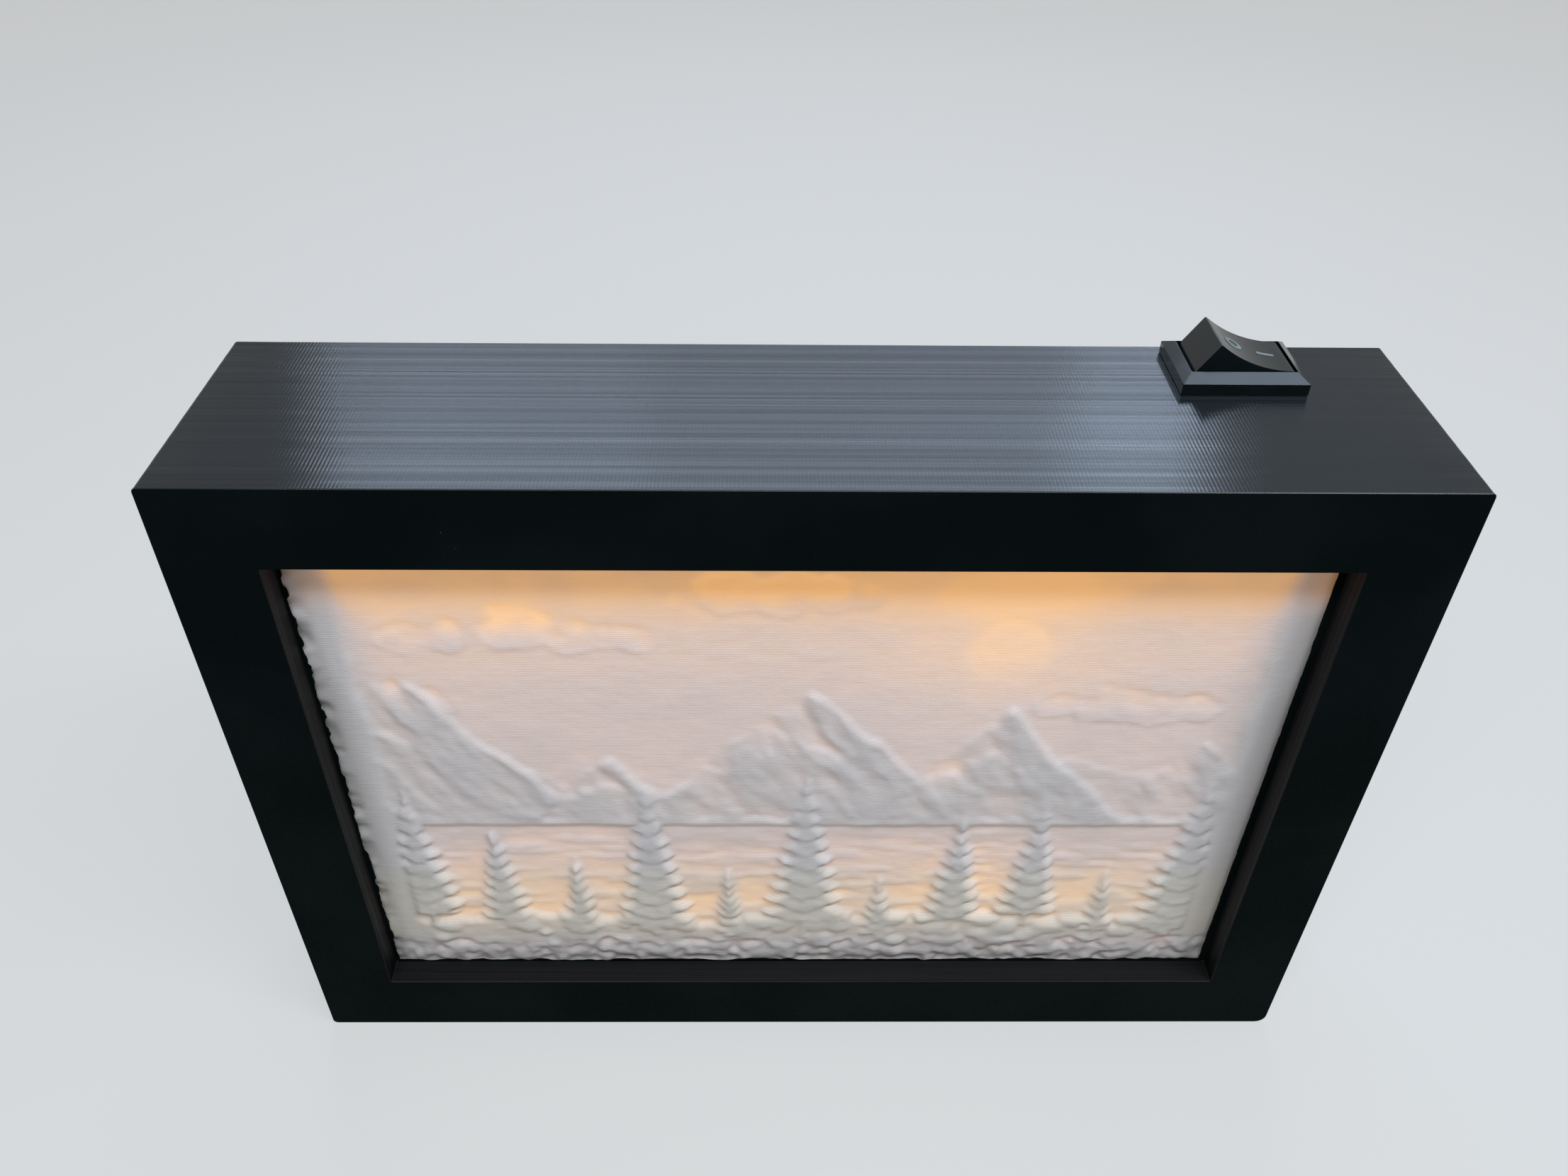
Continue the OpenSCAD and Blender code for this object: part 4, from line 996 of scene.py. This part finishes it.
def coil(wide, narrow, wire, length, turns):
    """Points of a spring along +Z whose ends run straight for one wire diameter."""
    straight = 2.0 * wire
    path = [(wide, 0.0, 0.0)]
    for k in range(COIL_STEPS * turns + 1):
        t = k / (COIL_STEPS * turns)
        radius = wide + (narrow - wide) * t
        angle = 2.0 * math.pi * turns * t
        height = straight + (length - 2.0 * straight) * t
        path.append((radius * math.cos(angle), radius * math.sin(angle), height))
    path.append((narrow, 0.0, length))
    return path


def cell_side(i):
    """The end that a cell's nub points to: left and right in turn."""
    return -1 if i % 2 == 0 else 1


def battery_springs():
    """One conical spring for each cell, wide at the tray's end."""
    cone = coil(wide=4.0, narrow=2.4, wire=TRAY_WIRE, length=5.0, turns=3)
    parts = []
    for i, z in enumerate(CELL_Z):
        side = -cell_side(i)
        path = [(side * (CONTACT_X - p[2]), CELL_Y + side * p[1], z + p[0]) for p in cone]
        parts.append(tube(path, TRAY_WIRE, 10))
    mesh = to_mesh("tray_springs", *joined(parts))
    new_piece("tray_springs", mesh, "box", "steel", ["battery_springs"])


def key_spring():
    """The straight spring in the rocker's stem."""
    straight = coil(wide=1.05, narrow=1.05, wire=KEY_WIRE, length=4.6, turns=4)
    path = [rocker_point(p[0], p[1], p[2] + KEY_SPRING_FOOT) for p in straight]
    mesh = to_mesh("key_spring", *tube(path, KEY_WIRE, 10))
    new_piece("key_spring", mesh, "rocker", "steel", ["rocker_spring"])


# A cell's outline from its nub to its flat end: radius and distance from the nub's tip
CELL_PROFILE = (
    (2.35, 0.0), (2.62, 0.06), (2.75, 0.22), (2.75, 1.02), (2.9, 1.12), (5.55, 1.16), (5.7, 1.05),
    (6.5, 1.02), (6.9, 1.14), (7.06, 1.42), (7.1, 2.0), (7.1, 11.0), (7.1, 11.02), (7.1, 48.9),
    (7.06, 49.5), (6.88, 49.82), (6.5, 49.96), (5.7, 49.94), (5.55, 49.78), (5.2, 49.76), (4.9, 49.88),
    (0.9, 49.94),
)
# Steps of that outline that are the pale band and the sleeve; the rest is bare steel
CELL_BAND = range(6, 11)
CELL_SLEEVE = range(11, 17)
SLEEVE, BAND, BARE = range(3)


def battery_cells():
    """Three cells with a stepped nub, rolled sleeve edges, a pale band and a plain sleeve."""
    sides = 56
    points = []
    faces = []
    looks = []
    for i, z in enumerate(CELL_Z):
        start = len(points)
        side = cell_side(i)
        for radius, along in CELL_PROFILE:
            x = side * (CONTACT_X - along)
            points += [(x, CELL_Y + radius * c, z + radius * s) for c, s in circle(sides)]
        for r in range(len(CELL_PROFILE) - 1):
            kind = BAND if r in CELL_BAND else SLEEVE if r in CELL_SLEEVE else BARE
            faces += ring_faces(start + r * sides, start + (r + 1) * sides, sides)
            looks += [kind] * sides
        faces.append(tuple(range(start, start + sides)))
        end = start + (len(CELL_PROFILE) - 1) * sides
        faces.append(tuple(range(end, end + sides)))
        looks += [BARE, BARE]
    mesh = to_mesh("cells", points, faces, 30.0)
    materials = [LOOKS["cell_sleeve"], BAND_LOOK, LOOKS["steel"]]
    new_piece("cells", mesh, "box", "cell_sleeve", ["battery_cells"], materials)
    mesh.polygons.foreach_set("material_index", looks)


# Places that the wires run by, and each wire as steps from them
PLUS_LUG = (-33.1, 11.7, 70.1)
MINUS_LUG = (33.1, 11.7, 39.3)
TRAY_TOP = (0.0, 11.7, 79.4)
COMMON_BARREL = (70.8, 13.2, 109.6)
LINE_BARREL = (64.8, 13.2, 109.6)
HOLE_BACK = (84.0, 2.5, 122.0)
HOLE_FRONT = (84.0, 0.5, 122.0)
STRIP_PAD = (78.6, -7.0, 123.85)
LEADS = {
    "lead_battery_to_switch": ("lead_red", [
        (PLUS_LUG, [(0, 0, 0), (-3.9, 0, 0), (-7.9, 0.1, 2.9), (-8.9, 0.3, 9.9), (-4.9, 0.5, 17.9)]),
        (PLUS_LUG, [(9.1, 0.3, 22.9)]),
        (TRAY_TOP, [(0, -0.7, 15.6), (26, -1.2, 14.6)]),
        (LINE_BARREL, [(-17, -1.8, -16), (-5, -0.5, -13), (-0.4, 0, -7), (0, 0, -3), (0, 0, 0)]),
    ]),
    "lead_switch_to_strip": ("lead_red", [
        (COMMON_BARREL, [(0, 0, 0), (0, 0, -3.5), (1.2, -0.4, -7.5), (4.8, -1.8, -9.5)]),
        (HOLE_BACK, [(-4, 6, -20), (-1.6, 4, -13), (-1, 2.5, -6), (-1, 0.5, -1.5)]),
        (HOLE_FRONT, [(-1, -1, 0)]),
        (STRIP_PAD, [(4.2, 3.4, -0.55), (2.6, 2, -0.05), (0, 2, 0)]),
    ]),
    "lead_battery_to_strip": ("lead_black", [
        (MINUS_LUG, [(0, 0, 0), (3.9, 0, 0), (11.9, -0.2, 1.7), (21.9, -0.7, 8.7)]),
        (HOLE_BACK, [(-19, 7.5, -62), (-11, 6.5, -46), (-4, 5.5, -28), (0.3, 4, -12), (0.9, 2.5, -5)]),
        (HOLE_BACK, [(0.9, 0.3, -1.2)]),
        (HOLE_FRONT, [(0.9, -1.5, 0)]),
        (STRIP_PAD, [(6.1, 1.5, -1.15), (5.3, -1.2, -0.35), (3.2, -2, -0.05), (0, -2, 0)]),
    ]),
}


def leads():
    """The three wires as smooth tubes."""
    for node, (slot, stretches) in LEADS.items():
        path = [np.add(place, step) for place, steps in stretches for step in steps]
        mesh = to_mesh("wire_" + node, *tube(curve_points(path, 6), LEAD_R, 12))
        new_piece("wire_" + node.removeprefix("lead_"), mesh, "box", slot, [node])


def dress_nodes():
    """Gives each CAD node the look of its slot."""
    slots = {part["node"]: part["material_slot"] for part in frame["record"]["subparts"]}
    for name, node in frame["nodes"].items():
        node.data.materials.clear()
        node.data.materials.append(LOOKS[slots[name]])


def camera():
    """The camera of the photograph, fitted to the box's corners."""
    pitch = math.radians(CAMERA_PITCH)
    yaw = math.radians(CAMERA_YAW)
    roll = math.radians(CAMERA_ROLL)
    ahead = Vector((math.sin(yaw) * math.cos(pitch), math.cos(yaw) * math.cos(pitch), -math.sin(pitch)))
    level = Vector((math.cos(yaw), -math.sin(yaw), 0.0))
    upright = level.cross(ahead)
    right = math.cos(roll) * level + math.sin(roll) * upright
    up = -math.sin(roll) * level + math.cos(roll) * upright
    data = bpy.data.cameras.new("camera")
    data.sensor_fit = "HORIZONTAL"
    data.sensor_width = SENSOR
    data.lens = FOCAL_PX / PHOTO_W * SENSOR
    data.clip_start = 0.01
    item = new_object("camera", data)
    turned = Matrix((right, up, -ahead)).transposed().to_4x4()
    item.matrix_world = Matrix.Translation(Vector(CAMERA_AT) * MM) @ turned
    bpy.context.scene.camera = item


def lamp(name, place, target, size, watts, colour):
    """A rectangular lamp that the camera doesn't see; lengths in metres."""
    data = bpy.data.lights.new(name, "AREA")
    data.shape = "RECTANGLE"
    data.size, data.size_y = size
    data.energy = watts
    data.color = colour
    item = new_object(name, data)
    item.visible_camera = False
    item.location = place
    item.rotation_euler = (Vector(target) - Vector(place)).to_track_quat("-Z", "Y").to_euler()


# Half the floor's side in metres, its share of pale colour, and the lamps' colours
FLOOR_HALF = 4.0
FLOOR_LIFT = 0.6
DAYLIGHT = (0.86, 0.93, 1.0)
COOL = (0.65, 0.79, 1.0)


def floor():
    """A wide pale floor."""
    half = FLOOR_HALF
    mesh = bpy.data.meshes.new("floor")
    corners = [(-half, -half, 0), (half, -half, 0), (half, half, 0), (-half, half, 0)]
    mesh.from_pydata(corners, [], [(0, 1, 2, 3)])
    look = Look("floor", (0.45, 0.46, 0.46), 0.8, Specular_IOR_Level=0.1)
    cloud = look.noise((0.4, 0.4, 0.4), 2.0)
    look.set("Base Color", look.mix(cloud, (0.43, 0.44, 0.44), (0.47, 0.48, 0.48)))
    lift = look.node("ShaderNodeEmission", {"Color": (0.84, 0.85, 0.85, 1.0), "Strength": 1.0})
    look.show_pale(FLOOR_LIFT, look.shader, lift, "Material Output")
    mesh.materials.append(look.material)
    new_object("floor", mesh)


def lamps():
    """A bar of daylight in front, cool bars behind for the sheen of the top, and one over the switch."""
    lamp("key", (0.10, -0.30, 0.65), (0.02, 0.0, 0.10), (0.9, 0.10), 5.4, DAYLIGHT)
    lamp("rear", (-0.012, 0.62, 0.63), (0.0, 0.0, 0.138), (0.693, 0.16), 3.0, COOL)
    lamp("rear_right", (0.285, 0.615, 0.63), (0.05, 0.0, 0.138), (0.12, 0.16), 0.27, COOL)
    lamp("rear_left", (-0.20, 0.615, 0.63), (-0.04, 0.0, 0.138), (0.2, 0.16), 0.14, COOL)
    lamp("top", (0.27, 0.01, 0.64), (0.07, 0.0, 0.14), (0.24, 0.16), 0.62, COOL)


def surround():
    """A faint even light with a pale grey background."""
    world = bpy.data.worlds.new("surround")
    bpy.context.scene.world = world
    nodes = Nodes(world)
    light = nodes.tree.nodes["Background"]
    light.inputs["Color"].default_value = (0.95, 0.98, 1.0, 1.0)
    light.inputs["Strength"].default_value = 0.13
    pale = nodes.node("ShaderNodeBackground", {"Color": (0.538, 0.548, 0.548, 1.0)})
    nodes.show_pale(1.0, light, pale, "World Output")


# Nodes shown with rounded edges: node, piece, body, slot and rounding
ROUNDED = (
    ("switch_housing", "switch_bezel", "box", "switch_black", 0.16),
    ("switch_rocker", "rocker_key", "rocker", "switch_black", 0.2),
    ("back_cover", "cover_plate", "box", "cover_black", 0.3),
    ("battery_door", "door_plate", "door", "cover_black", 0.3),
)


def rounded_pieces():
    """The switch, the cover and the door, with even shading over their rounded edges."""
    for node, name, body, slot, width in ROUNDED:
        piece = new_piece(name, rounded_copy(node, name, width), body, slot, [node])
        piece.modifiers.new("even_shading", "WEIGHTED_NORMAL").keep_sharp = True


camera()
floor()
lamps()
surround()
bpy.context.scene.view_settings.view_transform = "Standard"
dress_nodes()
printed_frame()
relief_panel()
panel_shadow_strips()
rounded_pieces()
switch_marks()
battery_springs()
key_spring()
battery_cells()
leads()

bpy.context.view_layer.update()
